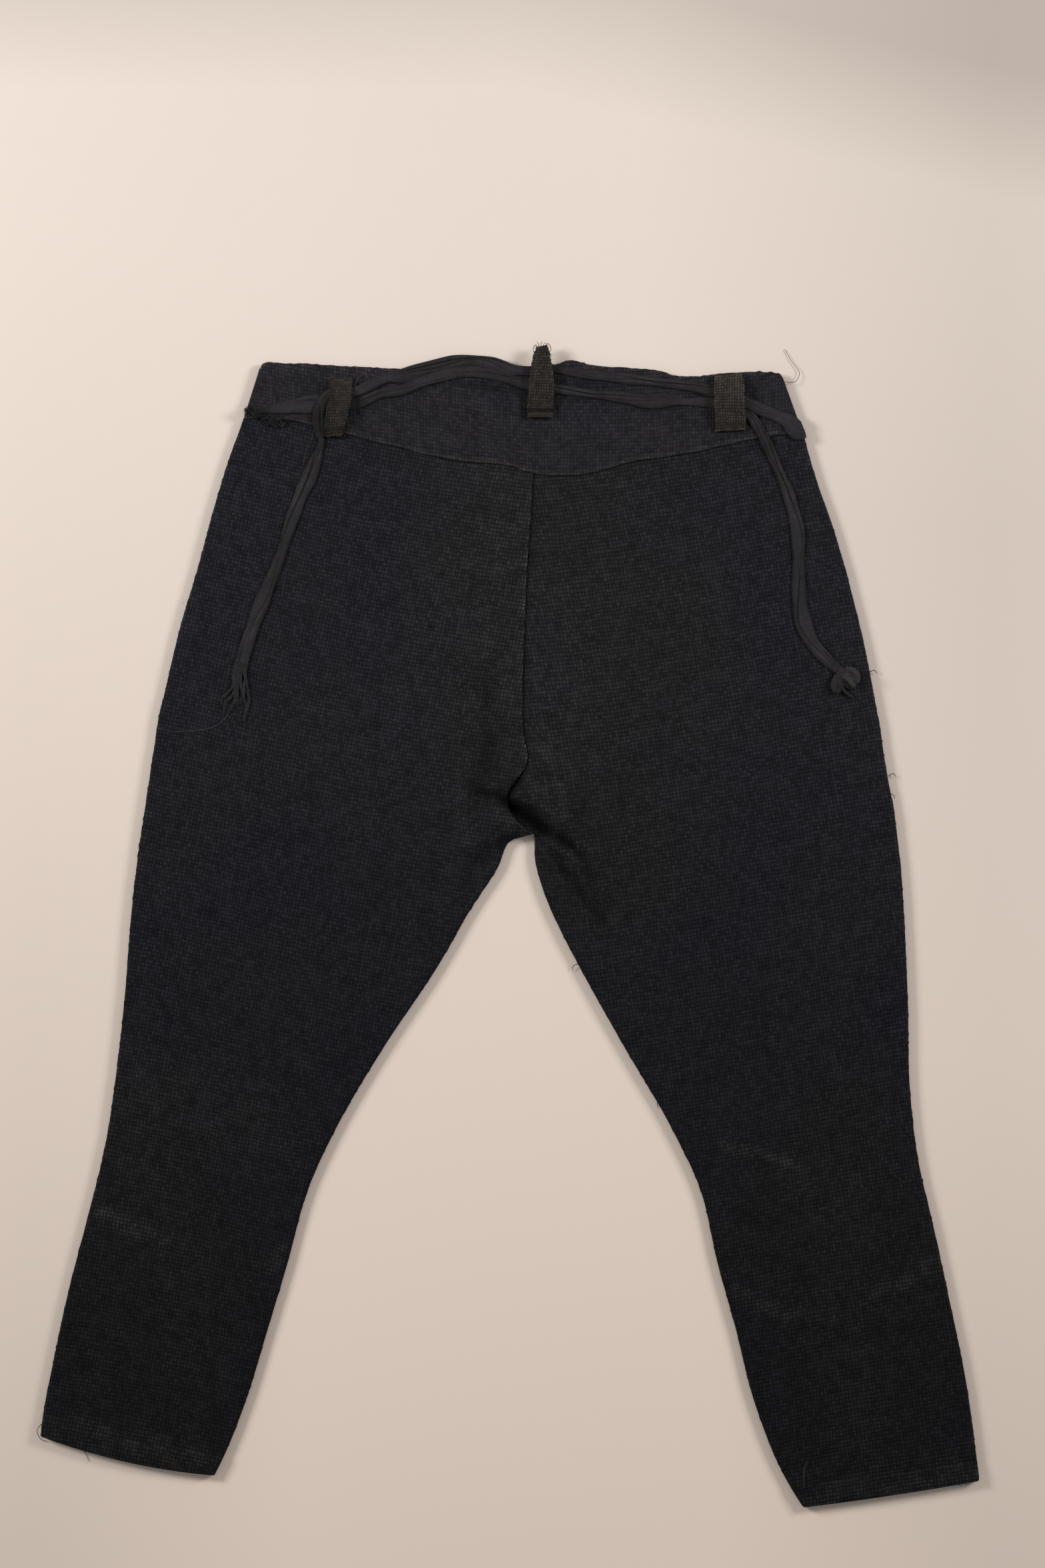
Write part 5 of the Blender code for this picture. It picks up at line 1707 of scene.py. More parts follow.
@dataclass
class Knot:
    """The knot at the end of the short tie: turns of tape fused into one lump."""
    relief: Relief
    across: int = 9
    step: float = 0.7
    voxel: float = 0.34
    clearance: float = 0.5
    reach: float = 5.0

    def turn_piece(self, turn: KnotTurn) -> bpy.types.Object:
        """One turn of tape as a closed strip.

        Args:
            turn: Its route and sizes.

        Returns:
            The strip.
        """
        points = np.array(turn.points)
        base = self.relief.highest(points[:, 0], points[:, 1], self.reach)
        points[:, 2] += base + self.clearance
        middles = curve_at(points, even_places(points, self.step))
        across, normal, travelled = frames(middles)
        share = np.linspace(-1.0, 1.0, self.across)
        ends = np.minimum(travelled, travelled[-1] - travelled)[:, None]
        taper = 0.55 + 0.45 * ease(0.0, 2.0, ends)
        crease = 0.3 * np.cos(2.5 * math.pi * share + travelled[:, None] / 2.6)
        edge = turn.thickness / 2 * np.sqrt(1.0 - share ** 4)
        flat = middles[:, None] + across[:, None] * (taper * turn.width / 2 * share)[:, :, None]
        sides = [flat + normal[:, None] * (taper * height)[:, :, None]
                 for height in (edge + crease * (1.0 - share ** 2), -edge)]
        rings = both_sides(*sides)
        return strip("tape_" + turn.name.replace(" ", "_"), rings, np.zeros((*rings.shape[:2], 2)), {})

    def build(self) -> bpy.types.Object:
        """Make the knot.

        Returns:
            The knot, as one closed mesh.
        """
        parts = [self.turn_piece(turn) for turn in KNOT_TURNS]
        bpy.ops.object.select_all(action="DESELECT")
        for part in parts:
            part.select_set(True)
        bpy.context.view_layer.objects.active = parts[0]
        bpy.ops.object.join()
        lump = bpy.context.view_layer.objects.active
        lump.data.remesh_voxel_size = self.voxel * SCALE
        bpy.ops.object.voxel_remesh()
        smooth = lump.modifiers.new("soften", "SMOOTH")
        smooth.iterations = 2
        smooth.factor = 0.4
        bpy.ops.object.modifier_apply(modifier=smooth.name)
        bpy.ops.object.shade_smooth()
        lump.name = "tape_knot"
        points = np.zeros(len(lump.data.vertices) * 3)
        lump.data.vertices.foreach_get("co", points)
        points = points.reshape(-1, 3)
        middle = points.mean(axis=0)
        turned = points[:, :2] @ np.array([[0.77, -0.64], [0.64, 0.77]])
        height = (points[:, 2] - middle[2]) / (points[:, 2].max() - middle[2])
        # Painted highlight and rubbed wear on the top of the knot, and painted shade on its lower parts
        lay_cloth(lump.data, turned, {
            "worn": np.clip(0.25 + 0.35 * height, 0.0, 1.0),
            "shade": np.clip(0.77 + 0.28 * height, 0.5, 1.0),
        })
        return lump


class LooseThread(NamedTuple):
    """A loose thread: its kind, radius and lightness, and points with heights above the table top."""
    kind: str
    radius: float
    light: float
    points: tuple[tuple[float, float, float], ...]


LOOSE_THREADS = [LooseThread(*row) for row in (
    ("waist", 0.24, 0.45, ((206.2, 408.6, 4), (214.5, 409, 2.4), (217.8, 414, 1.4),
        (211, 426, 0.6), (206.8, 433.5, 0.3))),
    ("waist", 0.16, 0.6, ((-116.5, 397, 9), (-114.4, 409.5, 6.8), (-110.3, 413.8, 6.6),
        (-106.2, 412.2, 6.6), (-104.9, 407.5, 6.6))),
    ("pale", 0.11, 0.8, ((-147.25, 368.5, 5.5), (-152, 357.5, 5.4), (-154.2, 349, 5.4),
        (-154.6, 345.5, 5.4))),
    ("pale", 0.17, 0.75, ((-206, 167, 5.9), (-208.2, 163.5, 5.6), (-212.2, 157.5, 5.4),
        (-217.2, 152.5, 5.4), (-222.2, 149.5, 5.4), (-227.2, 148, 5.4), (-239.7, 146.5, 5.4),
        (-257.2, 146, 5.4))),
    ("hem", 0.26, 0.1, ((-351, -373.5, 3), (-354.8, -378.5, 2), (-354, -383, 1.2),
        (-351.2, -386.6, 0.8), (-347.8, -387, 0.6))),
    ("hem", 0.22, 0.1, ((-322.8, -391, 2.2), (-319.2, -395.8, 0.6), (-316.2, -402.5, 0.3))),
    ("pale", 0.11, 0.9, ((223.3, -400.5, 6.6), (221.3, -406, 6.4), (220.8, -421.5, 6.4))),
    ("side", 0.35, 0.1, ((270, 190.8, 3.6), (274.2, 192, 2.6), (276.2, 190, 1.6))),
    ("side", 0.35, 0.1, ((284.6, 113, 3.2), (288.5, 114.5, 2.4), (290, 112.6, 1.4))),
    ("side", 0.3, 0.1, ((286, 99.5, 3), (289, 97.8, 1.8), (289.5, 95.6, 1))),
    ("inseam", 0.35, 0.1, ((113, -130, 3), (111, -133, 2), (111.8, -136.5, 1.2))),
    ("inseam", 0.3, 0.1, ((51, -28.5, 3), (48, -30, 2), (47.2, -33, 1.2))),
    ("torn loop", 0.3, 0.1, ((27, 434.6, 9.4), (28, 436.6, 9.6), (29.2, 436.2, 9.6),
        (31.1, 431.8, 9.2), (29.2, 429.4, 9.2))),
    ("torn loop", 0.32, 0.1, ((21, 434, 9.6), (19.6, 435.4, 9.4), (17.8, 432.6, 9.2),
        (18.4, 430, 9), (19.6, 428.8, 9.2))),
    ("torn loop", 0.26, 0.2, ((22, 434, 9.8), (21.6, 436.6, 9.6), (20.6, 437.6, 9.4))),
    ("torn loop", 0.26, 0.3, ((23.6, 434, 9.8), (23.8, 437, 9.7), (24.6, 438, 9.4))),
    ("torn loop", 0.26, 0.1, ((25.2, 434.2, 9.8), (25.8, 436.4, 9.8), (26.8, 437.4, 9.5))),
    ("torn loop", 0.16, 0.6, ((15, 391, 10), (11.6, 389, 8.4), (10.6, 390.6, 7.6),
        (12.6, 392, 8.6))),
    ("red", 0.3, 0.2, ((332.5, -417.6, 2.2), (336, -419.4, 1.6), (340.4, -420.6, 1))),
    ("pale", 0.24, 1, ((340.6, -418.8, 2), (343, -419.6, 1.4), (345.6, -418.8, 1))),
)]

THREAD_FINISHES = {"torn loop": "BROWN_THREAD", "red": "RED_THREAD"}


def math_sign(operation: str, swapped: bool = False) -> Callable:
    """A method of a number in a node tree that adds a Math node.

    Args:
        operation: What the node does.
        swapped: Whether the number comes after the other one.

    Returns:
        The method.
    """
    def work(number: "Number", *others: object) -> "Number":
        """The result of the new node."""
        return number.wire.math(operation, *((*others, number) if swapped else (number, *others)))

    return work


class Number:
    """A number in a node tree, which Python's own signs work on."""
    __add__ = __radd__ = math_sign("ADD")
    __mul__ = __rmul__ = math_sign("MULTIPLY")
    __sub__ = math_sign("SUBTRACT")
    __rsub__ = math_sign("SUBTRACT", swapped=True)
    __truediv__ = math_sign("DIVIDE")
    __pow__ = math_sign("POWER")
    __abs__ = math_sign("ABSOLUTE")
    sine = math_sign("SINE")
    floor = math_sign("FLOOR")
    fraction = math_sign("FRACT")

    def __init__(self, wire: "Wiring", socket: bpy.types.NodeSocket) -> None:
        """Keep the wiring and the socket that gives the number."""
        self.wire = wire
        self.socket = socket


class Wiring:
    """Adds nodes to one node tree and joins them."""

    def __init__(self, tree: bpy.types.NodeTree) -> None:
        """Keep the tree that the nodes go into."""
        self.tree = tree

    def add(self, kind: str, **settings: object) -> bpy.types.Node:
        """Add a node with some settings.

        Args:
            kind: Blender's name of the node.
            settings: Values of the node's own properties.

        Returns:
            The node.
        """
        node = self.tree.nodes.new(kind)
        for setting, value in settings.items():
            setattr(node, setting, value)
        return node

    def put(self, socket: bpy.types.NodeSocket, value: object) -> None:
        """Join a socket to another one, or set its value.

        Args:
            socket: The input.
            value: A socket, a result of other nodes or a plain value.
        """
        if isinstance(value, Number):
            value = value.socket
        if isinstance(value, bpy.types.NodeSocket):
            self.tree.links.new(value, socket)
        else:
            socket.default_value = value

    def fill(self, sockets: object, values: dict[object, object]) -> None:
        """Put a value into each of some sockets, which the values name or number."""
        for label, value in values.items():
            self.put(sockets[label], value)

    def math(self, operation: str, *values: object, clamp: bool = False) -> Number:
        """Result of a Math node on sockets or numbers.

        Args:
            operation: Name of the operation.
            values: Its inputs in order.
            clamp: Whether the result is held between 0 and 1.

        Returns:
            The result.
        """
        node = self.add("ShaderNodeMath", operation=operation, use_clamp=clamp)
        self.fill(node.inputs, dict(enumerate(values)))
        return Number(self, node.outputs[0])

    def blend(self, share: object, first: object, second: object) -> bpy.types.NodeSocket:
        """Colour between two others.

        Args:
            share: Share of the second colour.
            first: The first colour.
            second: The second colour.

        Returns:
            The mixed colour.
        """
        node = self.add("ShaderNodeMix", data_type="RGBA")
        colors = [(*value, 1.0) if isinstance(value, tuple) else value for value in (first, second)]
        self.fill(node.inputs, {"Factor": share, 6: colors[0], 7: colors[1]})
        return node.outputs[2]

    def between(self, value: object, *limits: float) -> Number:
        """A value moved from one range to another, given as four limits, and held at its ends.

        Args:
            value: The value.
            limits: The first range and the second.

        Returns:
            The moved value.
        """
        node = self.add("ShaderNodeMapRange")
        self.fill(node.inputs, dict(enumerate((value, *limits))))
        return Number(self, node.outputs[0])

    def noise(self, vector: object, scale: float, detail: float = 2.0, output: str = "Fac") -> Number:
        """A noise texture on a vector.

        Args:
            vector: Where the noise is read.
            scale: How fine it is.
            detail: How many finer layers it has.
            output: Name of the output.

        Returns:
            The noise.
        """
        node = self.add("ShaderNodeTexNoise")
        self.fill(node.inputs, {"Vector": vector, "Scale": scale, "Detail": detail})
        return Number(self, node.outputs[output])

    def parts(self, kind: str, value: object) -> list[Number]:
        """The parts of a vector or a colour.

        Args:
            kind: Type of the node that separates them.
            value: The vector or colour.

        Returns:
            The parts in order.
        """
        node = self.add(kind)
        self.put(node.inputs[0], value)
        return [Number(self, socket) for socket in node.outputs]


def new_group(name: str, inputs: Sequence[tuple], outputs: Sequence[tuple]) -> tuple[Wiring, dict, dict]:
    """An empty shader node group with named sockets.

    Args:
        name: Name of the group.
        inputs: Name, kind and default value of each input.
        outputs: Name and kind of each output.

    Returns:
        The group's wiring, its input numbers and its output sockets, by name.
    """
    tree = bpy.data.node_groups.new(name, "ShaderNodeTree")
    for label, kind, value in inputs:
        socket = tree.interface.new_socket(label, in_out="INPUT", socket_type=kind)
        if value is not None:
            socket.default_value = value
    for label, kind in outputs:
        tree.interface.new_socket(label, in_out="OUTPUT", socket_type=kind)
    wire = Wiring(tree)
    entry = wire.add("NodeGroupInput")
    leave = wire.add("NodeGroupOutput")
    numbers = {label: Number(wire, socket) for label, socket in entry.outputs.items()}
    return wire, numbers, dict(leave.inputs.items())


NUMBER, VECTOR, COLOR = "NodeSocketFloat", "NodeSocketVector", "NodeSocketColor"
WEAVE_OUTPUTS = [("Height", NUMBER), ("Block", NUMBER)]


def basket_weave_group() -> bpy.types.NodeTree:
    """Blocks of two yarns that pass over and under each other, with low gaps between them where shade is
    painted.

    Returns:
        A group that reads cloth coordinates and pitches in metres.
    """
    wire, enter, leave = new_group(
        "basket_weave",
        [("Vector", VECTOR, None), ("Across", NUMBER, 0.00265), ("Down", NUMBER, 0.00295),
         ("Wander", NUMBER, 0.25)], WEAVE_OUTPUTS)
    stray = wire.parts("ShaderNodeSeparateColor", wire.noise(enter["Vector"], 45.0, 2.0, "Color"))
    spot = wire.parts("ShaderNodeSeparateXYZ", enter["Vector"])
    cells = [place / enter[pitch] + (part - 0.5) * enter["Wander"] * 6.0
             for place, pitch, part in zip(spot, ("Across", "Down"), stray)]
    inside = [cell.fraction() for cell in cells]
    whole = [cell.floor() for cell in cells]
    odd = ((whole[0] + whole[1]) * 0.5).fraction() * 2.0
    swap = (inside[1] - inside[0]) * odd
    across = inside[0] + swap
    along = inside[1] - swap
    yarns = 0.84 + abs((across * (2.0 * math.pi)).sine()) ** 0.6 * 0.16
    edges = abs((across * math.pi).sine()) ** 0.33
    crown = abs((along * math.pi).sine()) ** 0.7
    pair = wire.add("ShaderNodeCombineXYZ")
    wire.fill(pair.inputs, dict(enumerate(whole)))
    block = wire.add("ShaderNodeTexWhiteNoise", noise_dimensions="2D")
    wire.put(block.inputs["Vector"], pair.outputs[0])
    wire.fill(leave, {"Height": yarns * edges * crown, "Block": block.outputs["Value"]})
    return wire.tree


def twill_group() -> bpy.types.NodeTree:
    """Fine slanted ribs of a twill tape.

    Returns:
        A group that reads cloth coordinates and a pitch in metres.
    """
    wire, enter, leave = new_group(
        "twill_tape", [("Vector", VECTOR, None), ("Pitch", NUMBER, 0.0011), ("Slant", NUMBER, 0.8)],
        WEAVE_OUTPUTS)
    x, y, _ = wire.parts("ShaderNodeSeparateXYZ", enter["Vector"])
    rib, warp = (0.5 + (place / enter["Pitch"] * (2.0 * math.pi)).sine() * 0.5
                 for place in (y + x * enter["Slant"], x))
    wire.fill(leave, {"Height": rib * 0.7 + warp * 0.3, "Block": wire.noise(enter["Vector"], 260.0)})
    return wire.tree


def worn_cloth_group() -> bpy.types.NodeTree:
    """Colour of a worn cloth: painted shade in the deep gaps, uneven yarns, rubbed tops and faint lengthwise
    streaks.

    Returns:
        A group that reads the weave, the rubbed places and the cloth coordinates.
    """
    colors = {"Cloth": (0.02, 0.02, 0.02, 1.0), "Rubbed": (0.06, 0.055, 0.05, 1.0),
              "Tint": (0.02, 0.018, 0.015, 1.0), "Fleck": (0.04, 0.02, 0.02, 1.0)}
    numbers = {"Weave": 0.5, "Block": 0.5, "Worn": 0.0, "Shade": 1.0, "Faded": 0.0, "Depth": 0.8, "Gain": 1.0}
    wire, enter, leave = new_group(
        "worn_cloth",
        [("Vector", VECTOR, None)] + [(label, COLOR, value) for label, value in colors.items()]
        + [(label, NUMBER, value) for label, value in numbers.items()],
        [("Color", COLOR), ("Roughness", NUMBER)])
    broad, patchy, fine, grain = (wire.noise(enter["Vector"], scale, detail) for scale, detail in (
        (9.0, 3.0), (75.0, 4.0), (700.0, 2.0), (1500.0, 1.0)))
    share = wire.math("ADD", wire.between(broad, 0.38, 0.66, 0.0, 0.6), enter["Faded"] * 0.75, clamp=True)
    cloth = wire.blend(share, enter["Cloth"], enter["Tint"])
    rub = enter["Worn"] * wire.between(patchy, 0.35, 0.62, 0.35, 1.2)
    rub = rub + wire.between(fine, 0.55, 0.8, 0.0, 0.14)
    rub = wire.math("MULTIPLY", rub, 0.25 + enter["Weave"] ** 1.6 * 0.75, clamp=True)
    fleck = wire.blend(wire.between(enter["Block"], 0.955, 0.975, 0.0, 0.13), cloth, enter["Fleck"])
    # Painted shade: the colour darkens where the weave is low, in the gaps between the yarns
    deep = 1.0 - enter["Depth"] * (1.0 - enter["Weave"])
    uneven = 0.72 + enter["Block"] * 0.56
    streaks = enter["Gain"] * wire.between(patchy, 0.3, 0.7, 0.85, 1.15)
    strength = deep * uneven * enter["Shade"] * streaks * wire.between(grain, 0.3, 0.7, 0.7, 1.3)
    scaled = wire.add("ShaderNodeVectorMath", operation="SCALE")
    wire.fill(scaled.inputs, {0: wire.blend(rub, fleck, enter["Rubbed"]), "Scale": strength})
    wire.fill(leave, {"Color": scaled.outputs[0], "Roughness": 0.97 - rub * 0.12})
    return wire.tree


def new_surface(name: str) -> tuple[bpy.types.Material, Wiring, object]:
    """A new material, its wiring and the input sockets of its shader.

    Args:
        name: Name of the material.

    Returns:
        The material, the wiring and the inputs.
    """
    material = bpy.data.materials.new(name)
    material.use_nodes = True
    return material, Wiring(material.node_tree), material.node_tree.nodes["Principled BSDF"].inputs


class Weave(Enum):
    """Kinds of weave."""
    BASKET = "basket_weave"
    TWILL = "twill_tape"


@dataclass(frozen=True)
class ClothFinish:
    """One cloth's colours, weave and surface, and the name of its slot."""
    name: str
    cloth: Color
    rubbed: Color
    tint: Color
    pitches: dict[str, float]
    depth: float
    bump: float
    weave: Weave = Weave.TWILL
    slot: str = "tie_tape"
    gain: float = 0.78
    fleck: Color = (0.042, 0.022, 0.022)
    specular: float = 0.05
    sheen: float = 0.01

    def material(self, groups: dict[Weave, bpy.types.NodeTree],
                 dress: bpy.types.NodeTree) -> bpy.types.Material:
        """Make the material.

        Args:
            groups: Node groups of the weaves.
            dress: Node group of the worn colour.

        Returns:
            The material.
        """
        material, wire, shader = new_surface(self.name)
        coordinates = wire.add("ShaderNodeUVMap", uv_map="cloth").outputs[0]
        weave = wire.add("ShaderNodeGroup", node_tree=groups[self.weave])
        look = wire.add("ShaderNodeGroup", node_tree=dress)
        bump = wire.add("ShaderNodeBump")
        values = {"Vector": coordinates, "Depth": self.depth, "Gain": self.gain,
                  "Weave": weave.outputs["Height"], "Block": weave.outputs["Block"]}
        for label in ("Cloth", "Rubbed", "Tint", "Fleck"):
            values[label] = (*getattr(self, label.lower()), 1.0)
        for label in ("Worn", "Shade", "Faded"):
            mask = wire.add("ShaderNodeAttribute", attribute_name=label.lower())
            values[label] = mask.outputs["Fac"]
        wire.fill(weave.inputs, {"Vector": coordinates, **self.pitches})
        wire.fill(look.inputs, values)
        wire.fill(bump.inputs, {
            "Distance": self.bump * SCALE, "Strength": 1.0, "Height": weave.outputs["Height"]})
        wire.fill(shader, {
            "Base Color": look.outputs["Color"], "Roughness": look.outputs["Roughness"],
            "Normal": bump.outputs[0], "Specular IOR Level": self.specular,
            "Sheen Weight": self.sheen, "Sheen Roughness": 0.6})
        return material


def basket(slot: str, across: float, down: float, wander: float) -> dict[str, object]:
    """Settings of a basket weave, with the name of its slot."""
    pitches = {"Across": across, "Down": down, "Wander": wander}
    return {"pitches": pitches, "weave": Weave.BASKET, "slot": slot}


def thread(name: str, *colors: Color, depth: float = 0.2) -> ClothFinish:
    """A finish of twisted thread, from its dyed, rubbed and tinted colours."""
    return ClothFinish(name, *colors, {"Pitch": 0.0006, "Slant": 1.0}, depth, 0.05)


class Finish(Enum):
    """The finishes of the garment."""
    LEG = ClothFinish(
        "breeches_weave", (0.0221, 0.0219, 0.0305), (0.115, 0.108, 0.102), (0.0254, 0.0247, 0.0258),
        depth=0.66, bump=0.38, gain=0.85, **basket("breeches_cloth", 0.00265, 0.00295, 0.22))
    YOKE = ClothFinish(
        "yoke_weave", (0.0271, 0.0264, 0.0342), (0.125, 0.115, 0.105), (0.0325, 0.0292, 0.0302),
        depth=0.5, bump=0.34, **basket("breeches_cloth", 0.00278, 0.0024, 0.2))
    LOOP = ClothFinish(
        "loop_weave", (0.047, 0.0402, 0.0345), (0.125, 0.107, 0.085), (0.0425, 0.0372, 0.0325),
        depth=0.74, bump=0.5, gain=0.9, **basket("loop_cloth", 0.0019, 0.0021, 0.34))
    TAPE = ClothFinish(
        "tie_twill", (0.0315, 0.0298, 0.0335), (0.078, 0.072, 0.069), (0.035, 0.0312, 0.0328),
        {"Pitch": 0.0011, "Slant": 0.8}, 0.2, 0.08, gain=0.91)
    THREAD = thread("loose_thread", (0.022, 0.02, 0.021), (0.34, 0.28, 0.21), (0.03, 0.025, 0.022))
    BROWN_THREAD = thread("brown_thread", (0.058, 0.045, 0.036), (0.14, 0.11, 0.082), (0.05, 0.039, 0.032))
    OLIVE_THREAD = thread(
        "olive_thread", (0.056, 0.05, 0.038), (0.15, 0.132, 0.1), (0.05, 0.044, 0.03), depth=0.3)
    RED_THREAD = thread("red_thread", (0.16, 0.02, 0.016), (0.3, 0.06, 0.05), (0.14, 0.02, 0.018))


@dataclass
class Wardrobe:
    """The garment's materials, made once."""
    made: dict[Finish, bpy.types.Material] = field(default_factory=dict)

    def __post_init__(self) -> None:
        """Build the node groups and every material."""
        groups = {Weave.BASKET: basket_weave_group(), Weave.TWILL: twill_group()}
        dress = worn_cloth_group()
        for finish in Finish:
            self.made[finish] = finish.value.material(groups, dress)

    def dress(self, piece: bpy.types.Object, finish: Finish, *nodes: str) -> None:
        """Give a piece its finish, and ride it on the garment in place of its solids.

        Args:
            piece: The piece.
            finish: What it is made of.
            nodes: Names of the solids that it stands for.
        """
        piece.data.materials.clear()
        piece.data.materials.append(self.made[finish])
        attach(piece, "root")
        if nodes:
            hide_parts(*nodes)
        LOG.info("%s: %d faces", piece.name, len(piece.data.polygons))


def link(name: str, data: bpy.types.ID) -> bpy.types.Object:
    """A new object of the scene that holds some data.

    Args:
        name: Name of the object.
        data: What it holds.

    Returns:
        The object.
    """
    made = bpy.data.objects.new(name, data)
    bpy.context.scene.collection.objects.link(made)
    return made


@dataclass
class Studio:
    """The pale floor, the two soft lights and the camera straight above."""
    middle: tuple[float, float] = (9.75, 106.75)
    view_height: float = 1176.5
    distance: float = 2300.0
    sensor: float = 36.0
    floor_size: float = 9.0
    floor_drop: float = 0.4
    floor_color: Color = (0.765, 0.676, 0.609)
    floor_near: Color = (0.77, 0.648, 0.56)
    lamp_place: tuple[float, float, float] = (2.0, 0.9, 1.18)
    lamp_size: float = 0.6
    lamp_powers: tuple = (("left_light", -1.0, 48.0), ("right_light", 1.0, 38.0))
    lamp_color: Color = (1.0, 0.985, 0.97)
    room_color: Color = (1.0, 0.98, 0.96)
    room_power: float = 0.3

    def camera(self) -> None:
        """Put the camera above the garment, looking straight down."""
        lens = bpy.data.cameras.new("camera")
        lens.sensor_width = self.sensor
        lens.lens = self.sensor * self.distance / self.view_height
        lens.clip_start = 0.05
        lens.clip_end = 20.0
        camera = link("camera", lens)
        camera.location = [value * SCALE for value in (*self.middle, self.distance + FLAT_TOP)]
        bpy.context.scene.camera = camera

    def floor(self) -> None:
        """Lay the pale paper floor, with painted shade towards its far edge, its sides and its right."""
        bpy.ops.mesh.primitive_plane_add(size=self.floor_size, location=(0.0, 0.0, -self.floor_drop * SCALE))
        floor = bpy.context.object
        floor.name = "floor"
        material, wire, shader = new_surface("paper")
        where = wire.add("ShaderNodeTexCoord").outputs["Object"]
        x, y, _ = wire.parts("ShaderNodeSeparateXYZ", where)
        dull, shaded = (tuple(value * share for value in self.floor_color) for share in (0.955, 0.5))
        stains = wire.noise(where, 5.0, 3.0) * 0.6 + wire.noise(where, 60.0, 3.0) * 0.4
        clean = wire.blend(wire.between(y, -0.45, 0.6, 0.0, 1.0), self.floor_near, self.floor_color)
        paper = wire.blend(wire.between(stains, 0.35, 0.65, 0.25, 0.0), clean, dull)
        # Painted shade: the floor darkens towards its far edge, towards its sides most near the hems, and on
        # its right
        far = wire.between(y + wire.between(x, 0.0, 0.4, 0.0, 0.09), 0.63, 0.73, 0.0, 0.45)
        beside = wire.between(abs(x), 0.16, 0.36, 0.0, 0.16) * wire.between(y, -0.45, 0.5, 1.6, 0.3)
        right = wire.between(x, 0.1, 0.36, 0.0, 0.28) * wire.between(y, -0.1, 0.3, 0.0, 1.0)
        dark = wire.math("ADD", far, beside + right, clamp=True)
        wire.fill(shader, {
            "Base Color": wire.blend(dark, paper, shaded), "Roughness": 0.9, "Specular IOR Level": 0.1})
        floor.data.materials.append(material)

    def lights(self) -> None:
        """Hang the two soft side lights, which face the garment, and the faint light of the room."""
        for name, side, power in self.lamp_powers:
            data = bpy.data.lights.new(name, "AREA")
            data.shape = "SQUARE"
            data.size = self.lamp_size
            data.energy = power
            data.color = self.lamp_color
            light = link(name, data)
            light.location = (side * self.lamp_place[0], *self.lamp_place[1:])
            aim = Vector((0.0, 0.1, 0.0)) - light.location
            light.rotation_mode = "QUATERNION"
            light.rotation_quaternion = aim.to_track_quat("-Z", "Y")
        world = bpy.data.worlds.new("room")
        world.use_nodes = True
        inputs = world.node_tree.nodes["Background"].inputs
        inputs[0].default_value = (*self.room_color, 1.0)
        inputs[1].default_value = self.room_power
        bpy.context.scene.world = world


@dataclass
class Ties:
    """The two waist ties, with their torn ends and the knot."""
    relief: Relief
    wardrobe: Wardrobe

    def long_tie(self) -> None:
        """The tie that comes round the right side edge and ends frayed on the left."""
        folds = [Crumple(-0.3, 0.3, 61.0, 0.4, 1.0, -1.0), Crumple(0.4, 0.26, 83.0, 2.1, 0.8, 1.0)]
        tape = Tape("long_tape", LONG_TIE, self.relief, folds, start=edge_wrap(),
                    flaps=(Flap(-92.0, 10.0, 2.4, -1.0),), twist=(-140.9, 363.3), dark_start=0.0)
        before, end = (np.array(point[:2]) for point in LONG_TIE[-2:])
        run = (end - before) / np.linalg.norm(end - before)
        fray = TornEnd("long_tape_fray", tuple(end + run * SEAM_GAP), tuple(run), 3.0, 10.5, FRAY_LOCKS,
                       self.relief, strands_per_lock=7, seed=8).build()
        self.finish(tape, fray, "waist_tie_long", "waist_tie_fray", "bare", [fray])

    def short_tie(self) -> None:
        """The tie that starts as a torn stub on the left and ends in a knot on the right."""
        folds = [Crumple(0.3, 0.32, 67.0, 1.3, 1.0, 1.0), Crumple(-0.4, 0.26, 91.0, 3.0, 0.8, -1.0)]
        tape = Tape("short_tape", SHORT_TIE, self.relief, folds, flaps=(Flap(-80.0, 6.0, 1.5, -1.0),))
        tuft = Tuft(self.relief).build()
        knot = Knot(self.relief).build()
        self.wardrobe.dress(knot, Finish.TAPE, "waist_tie_knot")
        self.finish(tape, tuft, "waist_tie_short", "waist_tie_tuft", "knot", [tuft, knot])

    def finish(self, tape: Tape, torn: bpy.types.Object, node: str, torn_node: str, far_end: str,
               on_it: list[bpy.types.Object]) -> None:
        """Args:
            tape: The tape.
            torn: Its torn end.
            node: The tape's solid.
            torn_node: The torn end's solid.
            far_end: What is on its far end; not used.
            on_it: The separate pieces on it; not used.
        """
        piece = tape.build()
        self.wardrobe.dress(piece, Finish.TAPE, node)
        self.wardrobe.dress(torn, Finish.TAPE, torn_node)
        route = tape.route() * SCALE


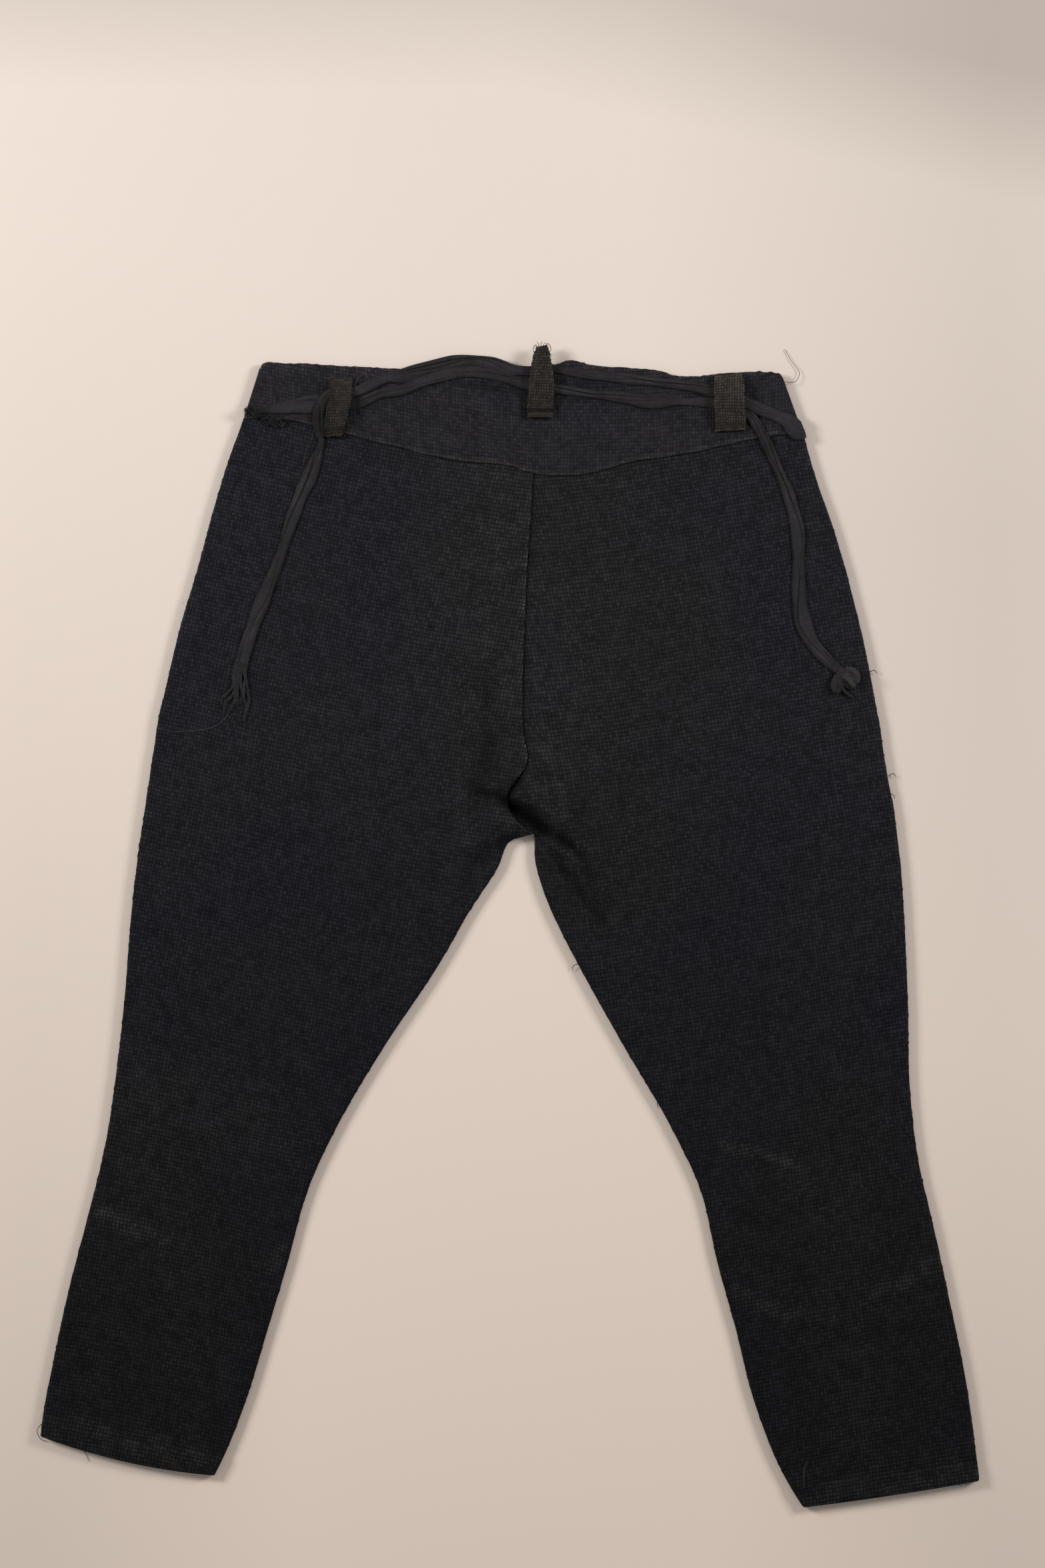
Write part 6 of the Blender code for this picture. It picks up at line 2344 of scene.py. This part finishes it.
@dataclass
class Garment:
    """The breeches themselves."""
    relief: Relief
    wardrobe: Wardrobe
    outline: Outline = field(default_factory=Outline)
    columns: Columns = field(default_factory=Columns)
    edge_inset: float = 1.3
    hem_inset: float = 0.18
    lint_count: int = 26

    def legs(self) -> None:
        """Make the fronts and the backs."""
        fronts = LegFronts(self.outline)
        backs = LegBacks(self.relief, self.outline, self.columns)
        for side in Side:
            front = fronts.build(side)
            back = backs.build(side)
            self.wardrobe.dress(front, Finish.LEG, f"front_panel_{side.word}")
            self.wardrobe.dress(back, Finish.LEG, f"back_panel_{side.word}")

    def yoke(self) -> None:
        """Make the yoke."""
        maker = BackYoke(self.relief, self.outline, self.columns)
        piece = maker.build()
        self.wardrobe.dress(piece, Finish.YOKE, "back_yoke")

    def loops(self) -> None:
        """Make the three belt loops."""
        frayed = []
        for seed, (name, (table, looks)) in enumerate(LOOPS.items(), start=3):
            maker = BeltLoop(f"belt_loop_cloth_{name}", table, self.relief, seed=seed, **looks)
            piece = maker.build()
            frayed += maker.fray()
            self.wardrobe.dress(piece, Finish.LOOP, f"belt_loop_{name}")
        self.sew("threads_loop_edges", frayed, Finish.BROWN_THREAD)
        bar = []
        for index, x in enumerate(np.arange(14.4, 31.8, 1.34)):
            line = [(x, 384.6, 8.2), (x + 0.1, 383.2, 8.9), (x, 381.6, 8.2)]
            bar.append((line, 0.6, 0.9, 0.05 + 0.12 * (index % 3)))
        self.sew("stitches_centre_loop", bar, Finish.OLIVE_THREAD)

    def threads(self) -> None:
        """Make the loose threads at the edges."""
        for kind in sorted({thread.kind for thread in LOOSE_THREADS}):
            lines = [(thread.points, thread.radius, 0.7, thread.light)
                     for thread in LOOSE_THREADS if thread.kind == kind]
            self.sew(f"threads_{kind.replace(' ', '_')}", lines, Finish[THREAD_FINISHES.get(kind, "THREAD")])

    def lint(self) -> None:
        """Scatter short pale fibres over the cloth."""
        random = np.random.default_rng(17)
        found = []
        for _ in range(self.lint_count):
            x, y = random.uniform(-250.0, 250.0), random.uniform(130.0, 330.0)
            if random.random() < 0.4:
                x = random.uniform(180.0, 300.0) * random.choice([-1.0, 1.0])
                y = random.uniform(-330.0, -90.0)
            z = self.relief.at(x, y) + 0.25
            turn = random.uniform(0.0, math.pi)
            run = np.array([math.cos(turn), math.sin(turn)]) * random.uniform(0.4, 1.1)
            line = [(x - run[0], y - run[1], z), (x, y, z + 0.2), (x + run[0], y + run[1], z)]
            found.append((line, 0.14, 0.8, random.uniform(0.5, 1.0)))
        self.sew("lint", found, Finish.THREAD)

    def sew(self, name: str, lines: list[tuple], finish: Finish) -> None:
        """Make one piece of several threads or stitches."""
        self.wardrobe.dress(thread_bundle(name, lines), finish)

    def stitches(self) -> None:
        """Make the stitching along the yoke's edge and the hems."""
        x = np.linspace(-192.0, 214.0, 260)
        waist, seam = yoke_lines(x)
        upward = (waist - seam) / np.linalg.norm(waist - seam, axis=1)[:, None]
        height = FLAT_TOP + self.relief.yoke_rise + 0.42
        path = np.column_stack([seam + upward * self.edge_inset, np.full(len(x), height)])
        self.sew("stitches_yoke", StitchRow(path, 1.9, 0.9, 0.26, 0.16).lines(), Finish.THREAD)
        for side in Side:
            rows = self.outline.back(side)
            at = int(np.argmin(np.abs(rows.from_hem - self.hem_inset)))
            share = np.linspace(0.03, 0.97, 90)[:, None]
            spot = rows.inner[at] + (rows.outer[at] - rows.inner[at]) * share
            y = spot[:, 1] - 4.0 * rows.bow[at] * (share * (1.0 - share))[:, 0]
            z = FLAT_TOP + self.relief.fold(spot[:, 0], y) + 0.86
            row = StitchRow(np.column_stack([spot[:, 0], y, z]), 2.8, 1.6, 0.2, 0.03)
            self.sew(f"stitches_hem_{side.word}", row.lines(), Finish.THREAD)


def main() -> None:
    """Build the scene around the frame."""
    logging.basicConfig(level=logging.INFO, format="%(name)s: %(message)s")
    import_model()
    studio = Studio()
    studio.camera()
    relief = Relief()
    wardrobe = Wardrobe()
    ties = Ties(relief, wardrobe)
    ties.long_tie()
    ties.short_tie()
    garment = Garment(relief, wardrobe)
    garment.legs()
    garment.yoke()
    garment.loops()
    garment.threads()
    garment.lint()
    garment.stitches()
    studio.floor()
    studio.lights()
    bpy.context.scene.view_settings.view_transform = "Standard"


if __name__ == "__main__":
    main()
